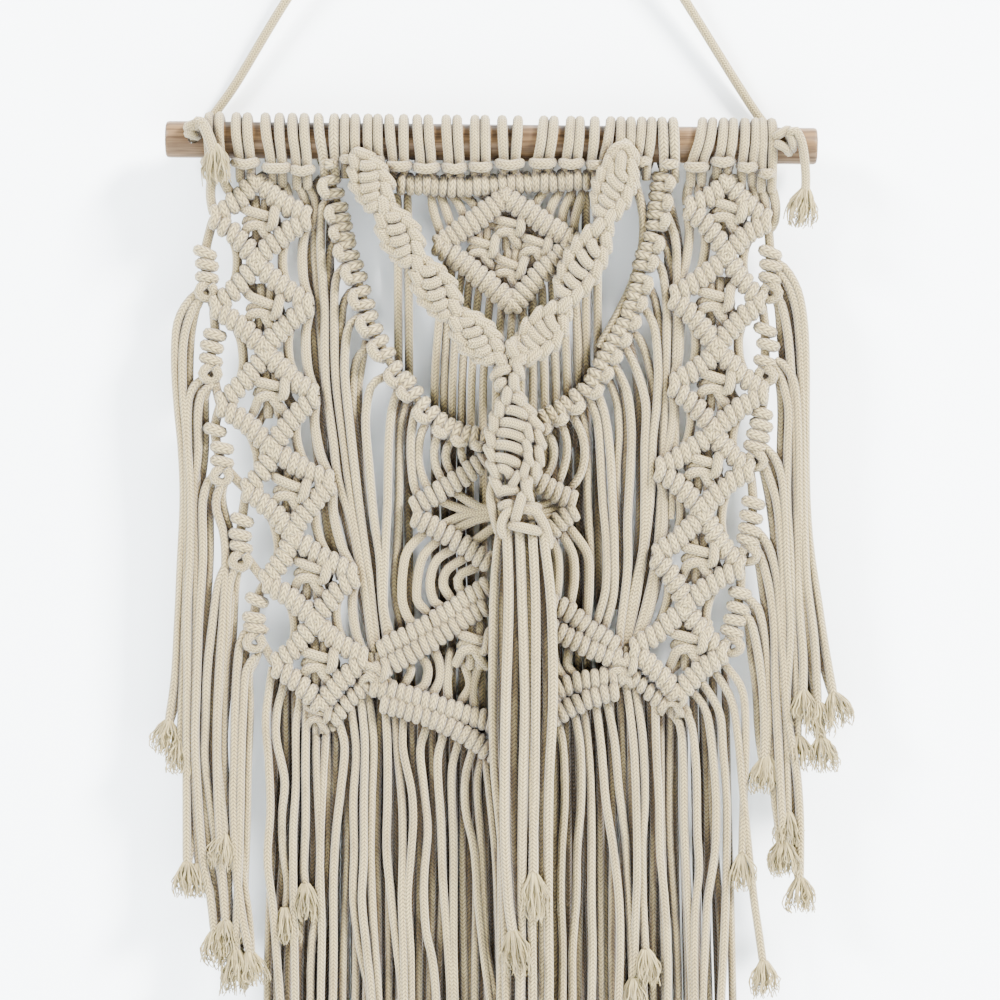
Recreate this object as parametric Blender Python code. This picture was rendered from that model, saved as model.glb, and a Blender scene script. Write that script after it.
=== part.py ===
"""A macrame wall hanging on a round wooden dowel, hung by one cord over a nail.

X runs along the dowel, the front faces -Y, and Z is up. The origin is where the nail
holds the hanger cord. Sizes are in millimetres and are turned into metres by `at`.
A place on the hanging is given by x and by its drop, the distance below the dowel's axis.
"""

import math

import bmesh
import bpy
from mathutils import Matrix, Vector

MM = 0.001
GAP = 0.3

# Driving dimensions
CORD = 5.0
HOOK_HEIGHT = 218.0
DOWEL_LENGTH = 342.0
DOWEL_RADIUS = 9.6
DOWEL_MIDDLE_X = -4.0
DOWEL_TILT = math.radians(0.62)
DOWEL_END_ROUND = 1.6
HOLE_RADIUS = 3.1
HOLE_LEFT_X = -160.0
HOLE_RIGHT_X = 153.0
NAIL_Y = 0.0

# Depths of the layers, front faces at -Y
NET_Y = -4.2
BAR_RADIUS = 4.6
FILL = 6.0
STRAND = 4.8
BACK_SHIFT = 9.5

RING_INNER = 10.4
RING_OUTER = 14.4
RING_SIDES = 10

COTTON = (0.71, 0.64, 0.53, 1.0)
WOOD = (0.33, 0.17, 0.07, 1.0)


def at(x, drop, y=0.0):
    """A place on the hanging in metres; the dowel's tilt is left out."""
    return Vector((x, y, -HOOK_HEIGHT - drop)) * MM


def dowel_drop(x):
    """How far the tilted dowel's axis lies below its own middle at x."""
    return (x - DOWEL_MIDDLE_X) * math.tan(DOWEL_TILT)


# ------------------------------------------------------------------ scene helpers


def clear_scene():
    for obj in list(bpy.data.objects):
        bpy.data.objects.remove(obj, do_unlink=True)


def collection(name):
    found = bpy.data.collections.new(name)
    bpy.context.scene.collection.children.link(found)
    return found


clear_scene()
PARTS = collection("Macrame_Wall_Hanging")


def material(name, colour, roughness):
    made = bpy.data.materials.new(name)
    made.use_nodes = True
    shader = made.node_tree.nodes["Principled BSDF"]
    shader.inputs["Base Color"].default_value = colour
    shader.inputs["Roughness"].default_value = roughness
    shader.inputs["Metallic"].default_value = 0.0
    made.diffuse_color = colour
    return made


def loose(name, data):
    """An object that is still being made, in the scene but in no named collection."""
    obj = bpy.data.objects.new(name, data)
    bpy.context.scene.collection.objects.link(obj)
    return obj


def baked(obj, weld=0.00002):
    """The object's evaluated mesh as a new loose object, welded where a weld is given."""
    bpy.context.view_layer.update()
    graph = bpy.context.evaluated_depsgraph_get()
    mesh = bpy.data.meshes.new_from_object(obj.evaluated_get(graph))
    mesh.transform(obj.matrix_world)
    if weld:
        shape = bmesh.new()
        shape.from_mesh(mesh)
        bmesh.ops.remove_doubles(shape, verts=shape.verts, dist=weld)
        bmesh.ops.recalc_face_normals(shape, faces=shape.faces)
        shape.to_mesh(mesh)
        shape.free()
    name = obj.name
    bpy.data.objects.remove(obj, do_unlink=True)
    return loose(name, mesh)


def joined(name, pieces):
    """One solid from overlapping pieces, by Boolean unions."""
    whole = pieces[0]
    for piece in pieces[1:]:
        union = whole.modifiers.new("union", "BOOLEAN")
        union.operation = "UNION"
        union.solver = "MANIFOLD"
        union.object = piece
        made = baked(whole, weld=None)
        bpy.data.objects.remove(piece, do_unlink=True)
        whole = made
    whole.name = name
    return whole


def finish(obj, name, look):
    """Names a finished solid, gives it its material and moves it into the parts."""
    obj.name = name
    obj.data.name = name
    obj.data.materials.clear()
    obj.data.materials.append(look)
    obj.data.set_sharp_from_angle(angle=math.radians(40))
    for holder in list(obj.users_collection):
        holder.objects.unlink(obj)
    PARTS.objects.link(obj)
    return obj


# ------------------------------------------------------------------ shapes


def plate(name, outline, y, thickness, holes=()):
    """A flat plate standing in the plane of the hanging; outlines are (x, drop) rows."""
    curve = bpy.data.curves.new(name, "CURVE")
    curve.dimensions = "2D"
    curve.fill_mode = "BOTH"
    curve.extrude = thickness / 2 * MM
    for ring in (outline, *holes):
        spline = curve.splines.new("POLY")
        spline.points.add(len(ring) - 1)
        spline.use_cyclic_u = True
        for point, (x, drop) in zip(spline.points, ring):
            point.co = (x * MM, (-HOOK_HEIGHT - drop) * MM, 0.0, 1.0)
    obj = loose(name, curve)
    obj.rotation_euler = (math.radians(90), 0, 0)
    obj.location = (0, y * MM, 0)
    return baked(obj)


def smooth_path(points, step):
    """Points about `step` mm apart on a Catmull-Rom curve through the given ones."""
    rows = [Vector(p) for p in points]
    rows = [2 * rows[0] - rows[1], *rows, 2 * rows[-1] - rows[-2]]
    path = []
    for a, b, c, d in zip(rows, rows[1:], rows[2:], rows[3:]):
        count = max(1, round((c - b).length / step))
        for k in range(count):
            t = k / count
            path.append(
                0.5 * (2 * b + (c - a) * t + (2 * a - 5 * b + 4 * c - d) * t * t
                       + (3 * b - a - 3 * c + d) * t * t * t)
            )
    path.append(rows[-2])
    return path


def tube_curve(name, points, radius, resolution=2, cyclic=False):
    """A tube as a curve object; points are (x, drop, y) rows in millimetres."""
    curve = bpy.data.curves.new(name, "CURVE")
    curve.dimensions = "3D"
    curve.bevel_depth = radius * MM
    curve.bevel_resolution = resolution
    curve.use_fill_caps = True
    spline = curve.splines.new("POLY")
    spline.points.add(len(points) - 1)
    spline.use_cyclic_u = cyclic
    for point, (x, drop, y) in zip(spline.points, points):
        point.co = (*at(x, drop, y), 1.0)
    return loose(name, curve)


def tube(name, points, radius, resolution=2, cyclic=False):
    return baked(tube_curve(name, points, radius, resolution, cyclic))


def turned(name, profile, sides, place):
    """A profile of (x, radius) rows in millimetres, turned about an axis along X."""
    shape = bmesh.new()
    rim = [shape.verts.new((x * MM, 0, r * MM)) for x, r in profile]
    edges = [shape.edges.new((a, b)) for a, b in zip(rim, rim[1:] + rim[:1])]
    bmesh.ops.spin(
        shape, geom=rim + edges, cent=(0, 0, 0), axis=(1, 0, 0),
        angle=math.tau, steps=sides, use_merge=True,
    )
    bmesh.ops.remove_doubles(shape, verts=shape.verts, dist=0.00002)
    bmesh.ops.recalc_face_normals(shape, faces=shape.faces)
    mesh = bpy.data.meshes.new(name)
    shape.to_mesh(mesh)
    shape.free()
    mesh.transform(Matrix.Translation(place))
    return loose(name, mesh)


def lump(name, x, drop, y, size):
    """A knot's rounded lump, size = its (x, y, z) widths in millimetres."""
    shape = bmesh.new()
    bmesh.ops.create_uvsphere(shape, u_segments=10, v_segments=6, radius=0.5 * MM)
    bmesh.ops.scale(shape, vec=size, verts=shape.verts)
    bmesh.ops.translate(shape, vec=at(x, drop, y), verts=shape.verts)
    mesh = bpy.data.meshes.new(name)
    shape.to_mesh(mesh)
    shape.free()
    return loose(name, mesh)


def drape(obj, rows):
    """Moves the mesh in depth by its drop; rows are (drop, shift in y), in millimetres."""
    shape = bmesh.new()
    shape.from_mesh(obj.data)
    for drop, _ in rows:
        bmesh.ops.bisect_plane(
            shape, geom=shape.verts[:] + shape.edges[:] + shape.faces[:],
            dist=1e-7, plane_co=at(0, drop), plane_no=(0, 0, 1),
        )
    for vertex in shape.verts:
        drop = -vertex.co.z / MM - HOOK_HEIGHT
        vertex.co.y += between(rows, drop) * MM
    shape.to_mesh(obj.data)
    shape.free()
    return obj


def between(rows, where):
    """The second column of sorted rows, read off between them and level past the ends."""
    if where <= rows[0][0]:
        return rows[0][1]
    for (a, low), (b, high) in zip(rows, rows[1:]):
        if where <= b:
            return low + (high - low) * (where - a) / (b - a)
    return rows[-1][1]


def lark_rings(names, pairs):
    """A ring of two cord turns round the dowel for each lark's head; pairs are x centres."""
    rings = []
    for name, (left, right) in zip(names, pairs):
        low, high = left - 2.4, right + 2.4
        profile = ((low, RING_INNER), (low + 0.7, RING_OUTER), (high - 0.7, RING_OUTER),
                   (high, RING_INNER))
        middle = (left + right) / 2
        rings.append(turned(name, profile, RING_SIDES, at(0, dowel_drop(middle))))
    return rings


def comb_outline(top_edge, teeth, root_drops):
    """The outline of a comb. top_edge is (x, drop) rows from left to right; teeth are
    (root x, bend x, bend drop, tip x, tip drop, width) rows from left to right; root_drops
    gives the drop of the slot's end beside each tooth."""
    outline = list(top_edge)
    for (root, bend, bend_drop, tip, tip_drop, width), root_drop in zip(
        reversed(teeth), reversed(root_drops)
    ):
        half = width / 2
        outline += [
            (root + half, root_drop), (bend + half, bend_drop), (tip + half, tip_drop),
            (tip - half, tip_drop), (bend - half, bend_drop), (root - half, root_drop),
        ]
    return outline


# ------------------------------------------------------------------ dowel and hanger


def make_dowel():
    shape = bmesh.new()
    bmesh.ops.create_cone(
        shape, cap_ends=True, segments=32, radius1=DOWEL_RADIUS * MM,
        radius2=DOWEL_RADIUS * MM, depth=DOWEL_LENGTH * MM,
    )
    rims = [e for e in shape.edges if abs(e.verts[0].co.z - e.verts[1].co.z) < 1e-9]
    bmesh.ops.bevel(
        shape, geom=rims, offset=DOWEL_END_ROUND * MM, segments=2, profile=0.5,
        affect="EDGES", material=-1,
    )
    mesh = bpy.data.meshes.new("dowel")
    shape.to_mesh(mesh)
    shape.free()
    dowel = loose("dowel", mesh)
    dowel.data.transform(
        Matrix.Translation(at(DOWEL_MIDDLE_X, 0))
        @ Matrix.Rotation(DOWEL_TILT, 4, "Y")
        @ Matrix.Rotation(math.radians(90), 4, "Y")
    )
    for x in (HOLE_LEFT_X, HOLE_RIGHT_X):
        drill = bmesh.new()
        bmesh.ops.create_cone(
            drill, cap_ends=True, segments=16, radius1=HOLE_RADIUS * MM,
            radius2=HOLE_RADIUS * MM, depth=4 * DOWEL_RADIUS * MM,
        )
        bit_mesh = bpy.data.meshes.new("drill")
        drill.to_mesh(bit_mesh)
        drill.free()
        bit_mesh.transform(
            Matrix.Translation(at(x, dowel_drop(x))) @ Matrix.Rotation(math.radians(90), 4, "X")
        )
        bit = loose("drill", bit_mesh)
        cut = dowel.modifiers.new("hole", "BOOLEAN")
        cut.operation = "DIFFERENCE"
        cut.object = bit
        dowel = baked(dowel)
        bpy.data.objects.remove(bit, do_unlink=True)
    finish(dowel, "dowel", material("wood", WOOD, 0.55))


# The hanger's route through its own points, (x, drop, y): through the left hole, up behind
# the dowel, over the nail, and down to the right hole.
HANGER_ROUTE = (
    (HOLE_LEFT_X, dowel_drop(HOLE_LEFT_X), -9.3),
    (HOLE_LEFT_X, dowel_drop(HOLE_LEFT_X), 4.0),
    (HOLE_LEFT_X, -1.8, 12.5),
    (-158.6, -6.5, 17.6),
    (-153.0, -15.0, 18.4),
    (-140.0, -33.0, 17.0),
    (-113.5, -76.0, 13.4),
    (-83.0, -120.0, 9.6),
    (-49.5, -162.0, 5.6),
    (-25.0, -191.0, 2.8),
    (-12.4, -206.5, 1.0),
    (-5.8, -216.5, NAIL_Y),
    (0.0, -HOOK_HEIGHT - CORD / 2, NAIL_Y),
    (5.8, -216.5, NAIL_Y),
    (12.0, -206.5, 1.0),
    (23.0, -190.5, 2.8),
    (44.0, -160.0, 5.6),
    (72.0, -118.0, 9.6),
    (99.3, -76.0, 13.4),
    (126.0, -34.0, 17.0),
    (139.5, -14.0, 18.4),
    (149.5, -4.0, 17.6),
    (HOLE_RIGHT_X, 0.6, 12.5),
    (HOLE_RIGHT_X, dowel_drop(HOLE_RIGHT_X), 4.0),
    (HOLE_RIGHT_X, dowel_drop(HOLE_RIGHT_X), -9.3),
)
HANGER_STEP = 11.0


def make_hanger():
    path = smooth_path(HANGER_ROUTE, HANGER_STEP)
    cord = tube_curve("hanger_cord", path, CORD / 2, 2)
    cord.data.materials.append(material("cotton_hanger", COTTON, 0.85))
    for holder in list(cord.users_collection):
        holder.objects.unlink(cord)
    PARTS.objects.link(cord)


def make_hanger_end(side, x, tail, fray):
    """An overhand stopper knot before the drilled hole, its tail and its frayed end."""
    drop = dowel_drop(x)
    knot_y = -DOWEL_RADIUS - GAP - 4.4
    knot = lump("knot", x, drop, knot_y, (11.5, 8.8, 11.0))
    rope = tube("tail", smooth_path(((x, drop, knot_y), *tail), 7.0), CORD / 2 - 0.1)
    brush = tube("fray", fray, CORD / 2 + 1.4, 2)
    end = joined(f"hanger_end_{side}", [knot, rope, brush])
    finish(end, f"hanger_end_{side}", material(f"cotton_end_{side}", COTTON, 0.9))


make_dowel()
make_hanger()
make_hanger_end(
    "left", HOLE_LEFT_X,
    tail=((-155.5, -5.0, -18.6), (-151.0, 3.0, -19.4), (-147.5, 12.0, -18.0)),
    fray=((-147.8, 11.0, -18.2), (-145.0, 26.0, -17.0)),
)
make_hanger_end(
    "right", HOLE_RIGHT_X,
    tail=((160.5, 4.0, -15.5), (162.2, 14.0, -12.0), (162.5, 29.0, -9.5)),
    fray=((162.5, 28.0, -9.6), (162.3, 48.0, -9.0)),
)


# ------------------------------------------------------------------ side panels

# Diamonds of a side panel, top to bottom. Each row: the top, left, right and bottom
# corner of its rows of hitches, as (x, drop).
LEFT_DIAMONDS = (
    ((-127, 20), (-147, 40), (-103, 40), (-127, 59)),
    ((-127, 62), (-147, 87), (-102, 87), (-124, 108)),
    ((-120, 112), (-144, 138), (-99, 133), (-119, 158)),
    ((-116, 164), (-130, 184), (-90, 180), (-105, 204)),
    ((-105, 210), (-119, 230), (-78, 228), (-98, 247)),
    ((-98, 252), (-114, 274), (-73, 270), (-94, 294)),
)
RIGHT_DIAMONDS = (
    ((120, 20), (102, 37), (139, 41), (120, 58)),
    ((120, 62), (95, 81), (134, 87), (116, 107)),
    ((116, 111), (95, 127), (135, 132), (112, 149)),
    ((110, 155), (85, 172), (127, 175), (106, 192)),
    ((107, 198), (85, 217), (124, 224), (99, 239)),
    ((94, 245), (73, 266), (116, 268), (93, 286)),
)
LEFT_PAIRS = ((-152.3, -147.0), (-138.1, -132.3), (-122.9, -115.5), (-108.7, -102.4))
RIGHT_PAIRS = ((107.1, 112.4), (118.1, 123.1), (129.2, 134.9), (139.6, 143.3))

# An extra row of hitches below the last diamond, on the side of the middle.
LEFT_LAST_ROW = ((-71, 284), (-87, 301))
RIGHT_LAST_ROW = ((71, 279), (88, 294))


def side_panel(side, pairs, diamonds, last_row, head, strap_side):
    """A net of six diamonds under its lark's heads; straps close the notches outside."""
    pieces = [plate("head", head, NET_Y, FILL + 1)]
    pieces += lark_rings([f"ring{i}" for i in range(len(pairs))], pairs)
    previous = None
    for top, left, right, bottom in diamonds:
        pieces.append(plate("field", (top, right, bottom, left), NET_Y, FILL))
        pieces.append(frame_of_bars((top, right, bottom, left)))
        if previous:
            pieces.append(bar(previous, top, 0.5))
            outer = left if strap_side < 0 else right
            pieces.append(strap(outer_before, outer, strap_side))
        previous, outer_before = bottom, left if strap_side < 0 else right
    pieces.append(bar(*last_row))
    pieces.append(bar(previous, last_row[1], 1.0))
    panel = joined(f"panel_{side}", pieces)
    finish(panel, f"panel_{side}", material(f"cotton_panel_{side}", COTTON, 0.9))


def bar(a, b, longer=1.5, y=NET_Y):
    """A row of hitches between two corners, drawn a little past both."""
    start, end = Vector(a), Vector(b)
    reach = (end - start).normalized() * longer
    start, end = start - reach, end + reach
    return tube("bar", ((*start, y), (*end, y)), BAR_RADIUS - 0.1, 1)


def frame_of_bars(corners, y=NET_Y):
    """The closed row of hitches round a diamond."""
    return tube("frame", [(*corner, y) for corner in corners], BAR_RADIUS, 1, cyclic=True)


def strap(a, b, side):
    """The outer strands between two diamonds, with their picot."""
    start, end = Vector(a), Vector(b)
    middle = (start + end) / 2 + Vector((side * 4.5, -1.0))
    first = start.lerp(middle, 0.45) + Vector((side * 1.5, 0))
    last = end.lerp(middle, 0.45) + Vector((side * 1.5, 0))
    points = [(*p, NET_Y + 0.4) for p in (start, first, middle, last, end)]
    return tube("strap", points, 3.3, 1)


LEFT_HEAD = ((-154, 10.5), (-101, 10.5), (-101, 22), (-104, 38), (-127, 20), (-149, 38), (-154, 30))
RIGHT_HEAD = ((106, 11.5), (145, 11.5), (145, 30), (141, 38), (120, 20), (102, 35), (102, 26))

side_panel("left", LEFT_PAIRS, LEFT_DIAMONDS, LEFT_LAST_ROW, LEFT_HEAD, -1)
side_panel("right", RIGHT_PAIRS, RIGHT_DIAMONDS, RIGHT_LAST_ROW, RIGHT_HEAD, 1)


# ------------------------------------------------------------------ side fringes

# Teeth of each side fringe: root x, bend x, bend drop, tip x, tip drop, width. The top
# edge runs over the first picot and down beside the panel.
LEFT_SIDE_TEETH = (
    (-171.0, -175.5, 215, -173.0, 331, 6.2),
    (-163.5, -168.0, 225, -163.0, 398, 6.2),
    (-156.0, -160.0, 235, -152.0, 428, 6.2),
    (-148.5, -150.5, 250, -141.0, 446, 6.2),
    (-141.0, -142.5, 270, -132.0, 420, 6.2),
)
LEFT_SIDE_ROOTS = (118, 132, 158, 205, 236)
LEFT_SIDE_TOP = (
    (-174, 118), (-171, 98), (-165, 80), (-161.5, 66), (-161.5, 58), (-156.5, 58),
    (-156.5, 72), (-157.5, 84), (-157.8, 97), (-157, 108), (-155.5, 122), (-154.2, 138),
    (-152.5, 150), (-147.0, 170), (-144.0, 192), (-137.9, 206),
)
RIGHT_SIDE_TEETH = (
    (138.5, 139.5, 262, 128.5, 380, 6.2),
    (145.5, 147.0, 245, 139.5, 337, 6.2),
    (152.5, 155.0, 225, 147.5, 384, 6.2),
    (159.5, 163.5, 212, 158.5, 404, 6.2),
    (166.5, 172.5, 205, 175.0, 327, 6.2),
)
RIGHT_SIDE_ROOTS = (235, 205, 158, 132, 118)
RIGHT_SIDE_TOP = (
    (136.6, 206), (138.6, 190), (141.5, 175), (144.5, 158), (146.5, 142), (147.5, 128),
    (147.0, 116), (147.5, 100), (147.5, 82), (148.5, 70), (148.5, 56), (153.5, 56),
    (154, 66), (159, 80), (165, 98), (169.5, 118),
)


def side_fringe(side, top_edge, teeth, roots):
    """The strands that leave the picots, bow out and hang: one comb beside the panel."""
    outline = comb_outline(top_edge, teeth, roots)
    comb = plate("comb", outline, NET_Y, STRAND + 1.2)
    drape(comb, ((120, 0.0), (200, 3.0), (330, 6.0)))
    finish(comb, f"side_fringe_{side}", material(f"cotton_side_{side}", COTTON, 0.9))


side_fringe("left", LEFT_SIDE_TOP, LEFT_SIDE_TEETH, LEFT_SIDE_ROOTS)
side_fringe("right", RIGHT_SIDE_TOP, RIGHT_SIDE_TEETH, RIGHT_SIDE_ROOTS)


# ------------------------------------------------------------------ neckline

NECK_LINE = (
    (-90, 12.5), (-89, 21), (-83, 40), (-77, 60), (-70, 80), (-62, 98), (-53, 114),
    (-43, 129), (-30, 142), (-14, 151), (4, 153), (20, 148), (34, 139), (47, 125),
    (58, 107), (67, 87), (74, 66), (79, 46), (83, 27), (86, 16.5),
)
NECK_LEFT_PAIR = ((-97.2, -91.2),)
NECK_RIGHT_PAIR = ((85.6, 91.4),)

# Teeth of the curtain: root x, bend x, bend drop, tip x, tip drop, width
NECK_TEETH = (
    (-87.0, -72.5, 200, -65.0, 258.0, 6.4),
    (-79.0, -64.5, 200, -58.4, 254.0, 6.4),
    (-70.0, -56.8, 196, -51.9, 250.5, 5.8),
    (-57.0, -50.6, 170, -48.6, 183.0, 5.2),
    (-46.5, -43.8, 165, -41.8, 181.5, 6.6),
    (-36.5, -35.0, 163, -33.6, 177.5, 7.0),
    (-26.0, -25.4, 162, -25.0, 171.0, 7.2),
    (-16.0, -15.8, 161, -15.6, 164.5, 7.2),
    (17.0, 17.0, 161, 17.0, 165.0, 7.2),
    (27.0, 27.0, 162, 27.0, 173.0, 7.2),
    (37.0, 36.6, 165, 36.2, 180.5, 6.6),
    (48.0, 48.6, 175, 48.0, 248.0, 6.2),
    (58.0, 57.4, 170, 55.6, 252.0, 6.4),
    (69.0, 67.0, 170, 62.8, 255.0, 6.4),
)
NECK_ROOTS = (134, 130, 136, 142, 147, 153, 156, 159, 157, 153, 148, 146, 138, 130)


def neck_curtain():
    """The U of looped-on cords and the strands that hang from it: one comb."""
    band = tube("band", smooth_path([(x, d, NET_Y) for x, d in NECK_LINE], 13.0), 4.8)
    left_side = ((-92.0, 128), (-94.2, 87), (-95.2, 40), (-96.8, 24), (-96.8, 11.5))
    right_side = ((91.0, 13), (91.0, 30), (89.0, 60), (86.5, 80), (86.0, 128))
    top_edge = (*left_side, *NECK_LINE[1:-1], *right_side)
    comb = plate(
        "comb", comb_outline(top_edge, NECK_TEETH, NECK_ROOTS), NET_Y, FILL
    )
    rings = lark_rings(("ring",), NECK_LEFT_PAIR) + lark_rings(("ring",), NECK_RIGHT_PAIR)
    curtain = joined("neck_curtain", [comb, band, *rings])
    finish(curtain, "neck_curtain", material("cotton_neck", COTTON, 0.9))


neck_curtain()


# ------------------------------------------------------------------ centre piece

CENTRE_PAIRS = (
    (-57.8, -50.1), (-43.1, -37.3), (-27.8, -22.1), (-12.6, -7.4), (1.6, 10.0),
    (23.6, 28.9), (37.8, 42.5), (50.4, 58.8),
)
TOP_BAR = ((-47, 20.5), (51, 20.5))
CENTRE_TOP, CENTRE_LEFT, CENTRE_RIGHT, CENTRE_BOTTOM = (3, 31), (-29, 57), (36, 55), (8, 84)

# Strands that hang behind: root x, bend x, bend drop, tip x, tip drop, width
BACK_TEETH = (
    (-53.0, -53.5, 128, -52.5, 575, 4.6),
    (-46.6, -47.0, 128, -44.0, 582, 4.6),
    (-25.5, -32.0, 128, -34.0, 585, 4.6),
    (-18.5, -24.5, 128, -26.5, 600, 4.6),
    (-11.5, -15.0, 128, -17.0, 592, 4.6),
    (-4.5, -6.5, 128, -7.5, 610, 4.6),
    (2.5, 1.5, 128, 1.5, 598, 4.6),
    (9.5, 9.5, 128, 10.5, 612, 4.6),
    (16.5, 18.0, 128, 19.5, 596, 4.6),
    (23.5, 27.0, 128, 29.0, 606, 4.6),
    (31.0, 35.0, 128, 38.0, 590, 4.6),
    (45.7, 44.5, 128, 47.0, 580, 4.6),
    (52.2, 51.0, 128, 56.0, 572, 4.6),
)
BACK_ROOTS = (98, 98, 98, 92, 92, 92, 96, 94, 92, 92, 98, 98, 98)
# The outer strands come straight down from the top bar; the others from the diamond.
BACK_TOP = (
    (-55.3, 90), (-55.2, 25.8), (-50.8, 25.8), (-50.8, 90), (-48.8, 90), (-48.8, 25.8),
    (-44.4, 25.8), (-44.4, 90), (-27.8, 90), (-27.8, 60), (-25, 57), (8, 82), (31, 55),
    (33.3, 58), (33.3, 90), (43.5, 90), (43.5, 25.8), (47.9, 25.8), (47.9, 90), (50.0, 90),
    (50.0, 25.8), (54.4, 25.8), (54.4, 90),
)
BACK_DRAPE = ((26, 0.0), (50, BACK_SHIFT), (560, BACK_SHIFT - 1.0))


def centre_piece():
    """Eight lark's heads, the top bar and the diamond below it."""
    field = (CENTRE_TOP, CENTRE_RIGHT, CENTRE_BOTTOM, CENTRE_LEFT)
    head = ((-60, 11.0), (61, 11.8), (61, 19), (52, 24), (-51, 24), (-60, 18))
    upper = ((-24, 22), (30, 22), (36, 40), (36, 54), (3, 31), (-29, 56), (-30, 40))
    pieces = [plate("head", head, NET_Y, FILL + 1)]
    pieces += lark_rings([f"ring{i}" for i in range(len(CENTRE_PAIRS))], CENTRE_PAIRS)
    pieces.append(bar(*TOP_BAR))
    pieces.append(plate("field", field, NET_Y, FILL))
    pieces.append(plate("upper", upper, NET_Y + 0.3, STRAND))
    pieces.append(frame_of_bars(field))
    piece = joined("centre_piece", pieces)
    finish(piece, "centre_piece", material("cotton_centre", COTTON, 0.9))


def back_fringe():
    """The strands that hang behind the diamond and the neckline: one comb."""
    comb = plate("comb", comb_outline(BACK_TOP, BACK_TEETH, BACK_ROOTS), NET_Y - 0.2, STRAND)
    drape(comb, BACK_DRAPE)
    finish(comb, "back_fringe", material("cotton_back", COTTON, 0.9))


centre_piece()
back_fringe()


# ------------------------------------------------------------------ butterfly and hip net

WING_TOP, WING_LEFT, WING_RIGHT, WING_BOTTOM = (2, 162.5), (-42, 193), (36, 191), (0, 225)
WING_TEETH = (
    (-41.0, -46.5, 222, -44.5, 249.0, 5.4),
    (-32.0, -35.0, 226, -35.0, 243.5, 5.4),
    (-23.0, -24.5, 226, -25.0, 237.5, 5.4),
    (16.0, 18.5, 226, 20.0, 233.0, 5.4),
    (25.0, 28.0, 224, 29.0, 237.0, 5.4),
    (34.0, 37.5, 220, 38.0, 242.5, 5.4),
)
WING_ROOTS = (206, 213, 219, 217, 211, 204)
WING_TOP_EDGE = ((-43.6, 200), (-43, 193), (0, 222), (37, 191), (37, 200))


def butterfly():
    """The wide diamond under the neckline and the short strands below it."""
    field = (WING_TOP, WING_RIGHT, WING_BOTTOM, WING_LEFT)
    pieces = [plate("field", field, NET_Y, FILL)]
    pieces.append(frame_of_bars(field))
    comb = comb_outline(WING_TOP_EDGE, WING_TEETH, WING_ROOTS)
    pieces.append(plate("comb", comb, NET_Y + 0.2, STRAND))
    whole = joined("butterfly", pieces)
    finish(whole, "butterfly", material("cotton_butterfly", COTTON, 0.9))


# Rows of hitches of the hip net: start and end, as (x, drop)
HIP_ROWS = (
    ((-61, 267), (-4, 234)),
    ((-63, 278), (-8, 245)),
    ((60, 265), (26, 244)),
    ((63, 274), (26, 255)),
    ((-4, 234), (26, 244)),
    ((-62, 286), (-4, 306)),
    ((-57, 297), (-2, 322)),
    ((62, 281), (28, 289)),
    ((57, 290), (28, 303)),
    ((28, 289), (-4, 306)),
    ((28, 303), (-2, 322)),
)
HIP_FIELD = (
    (-64, 272), (-61, 267), (-4, 234), (26, 244), (60, 265), (64, 272), (62, 283),
    (57, 290), (28, 303), (-2, 321), (-57, 297), (-63, 285),
)
HIP_WINDOWS = (
    ((-46, 283), (-30, 274), (-24, 284), (-34, 290)),
    ((32, 271), (44, 274), (42, 277), (32, 280)),
)


def hip_net():
    """Double bars from both sides down to the V, with the net between them."""
    pieces = [plate("field", HIP_FIELD, NET_Y, FILL, HIP_WINDOWS)]
    pieces += [bar(a, b, 1.0, NET_Y + 0.07 * i) for i, (a, b) in enumerate(HIP_ROWS)]
    whole = joined("hip_net", pieces)
    finish(whole, "hip_net", material("cotton_hip", COTTON, 0.9))


butterfly()
hip_net()


# ------------------------------------------------------------------ sennits and tassel

# Spiral sennits: x, drop, y of the middle, half width of the twisted band, half turns
SENNIT_LEFT = (
    (-67.5, 14, -15.0, 7.0, 0.00), (-68.5, 23, -17.0, 9.2, 0.25), (-66.0, 31, -17.5, 8.6, 0.65),
    (-61.0, 38, -17.5, 8.0, 1.00), (-56.0, 45, -17.0, 8.8, 1.30), (-51.5, 52, -16.5, 9.6, 1.60),
    (-46.5, 59, -16.5, 8.6, 1.85), (-42.0, 65, -16.5, 8.0, 2.10), (-37.5, 72, -16.5, 8.8, 2.40),
    (-33.5, 79, -17.0, 9.6, 2.65), (-28.0, 86, -17.5, 8.6, 2.90), (-22.5, 92, -18.0, 8.0, 3.15),
    (-16.5, 98, -18.5, 8.8, 3.40), (-10.0, 104, -19.0, 9.2, 3.65), (-4.0, 108, -19.5, 6.5, 3.80),
)
SENNIT_RIGHT = (
    (64.5, 9, -15.5, 6.0, 0.00), (63.5, 18, -17.0, 9.0, -0.25), (62.0, 27, -17.5, 9.2, -0.55),
    (58.5, 35, -17.5, 8.6, -0.80), (53.0, 43, -17.0, 8.0, -1.05), (49.0, 52, -16.5, 9.2, -1.35),
    (46.0, 61, -16.5, 9.8, -1.65), (41.5, 69, -16.5, 9.0, -1.95), (34.5, 77, -17.0, 8.0, -2.20),
    (28.5, 85, -17.5, 8.8, -2.45), (24.5, 93, -18.5, 9.4, -2.70), (19.5, 101, -19.5, 8.6, -2.95),
    (13.5, 108, -20.0, 6.5, -3.10),
)
SENNIT_JOINED = (
    (5.0, 113, -20.0, 8.0, 0.40), (5.5, 122, -20.5, 8.5, 0.05), (6.0, 131, -20.5, 11.0, -0.20),
    (6.5, 143, -19.5, 12.6, -0.40), (7.5, 156, -19.0, 13.0, -0.55), (8.5, 168, -19.5, 12.0, -0.72),
    (9.0, 178, -20.5, 9.5, -0.90), (9.0, 186, -20.5, 8.0, -1.05),
)
SENNIT_FLATNESS = 0.42
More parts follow.
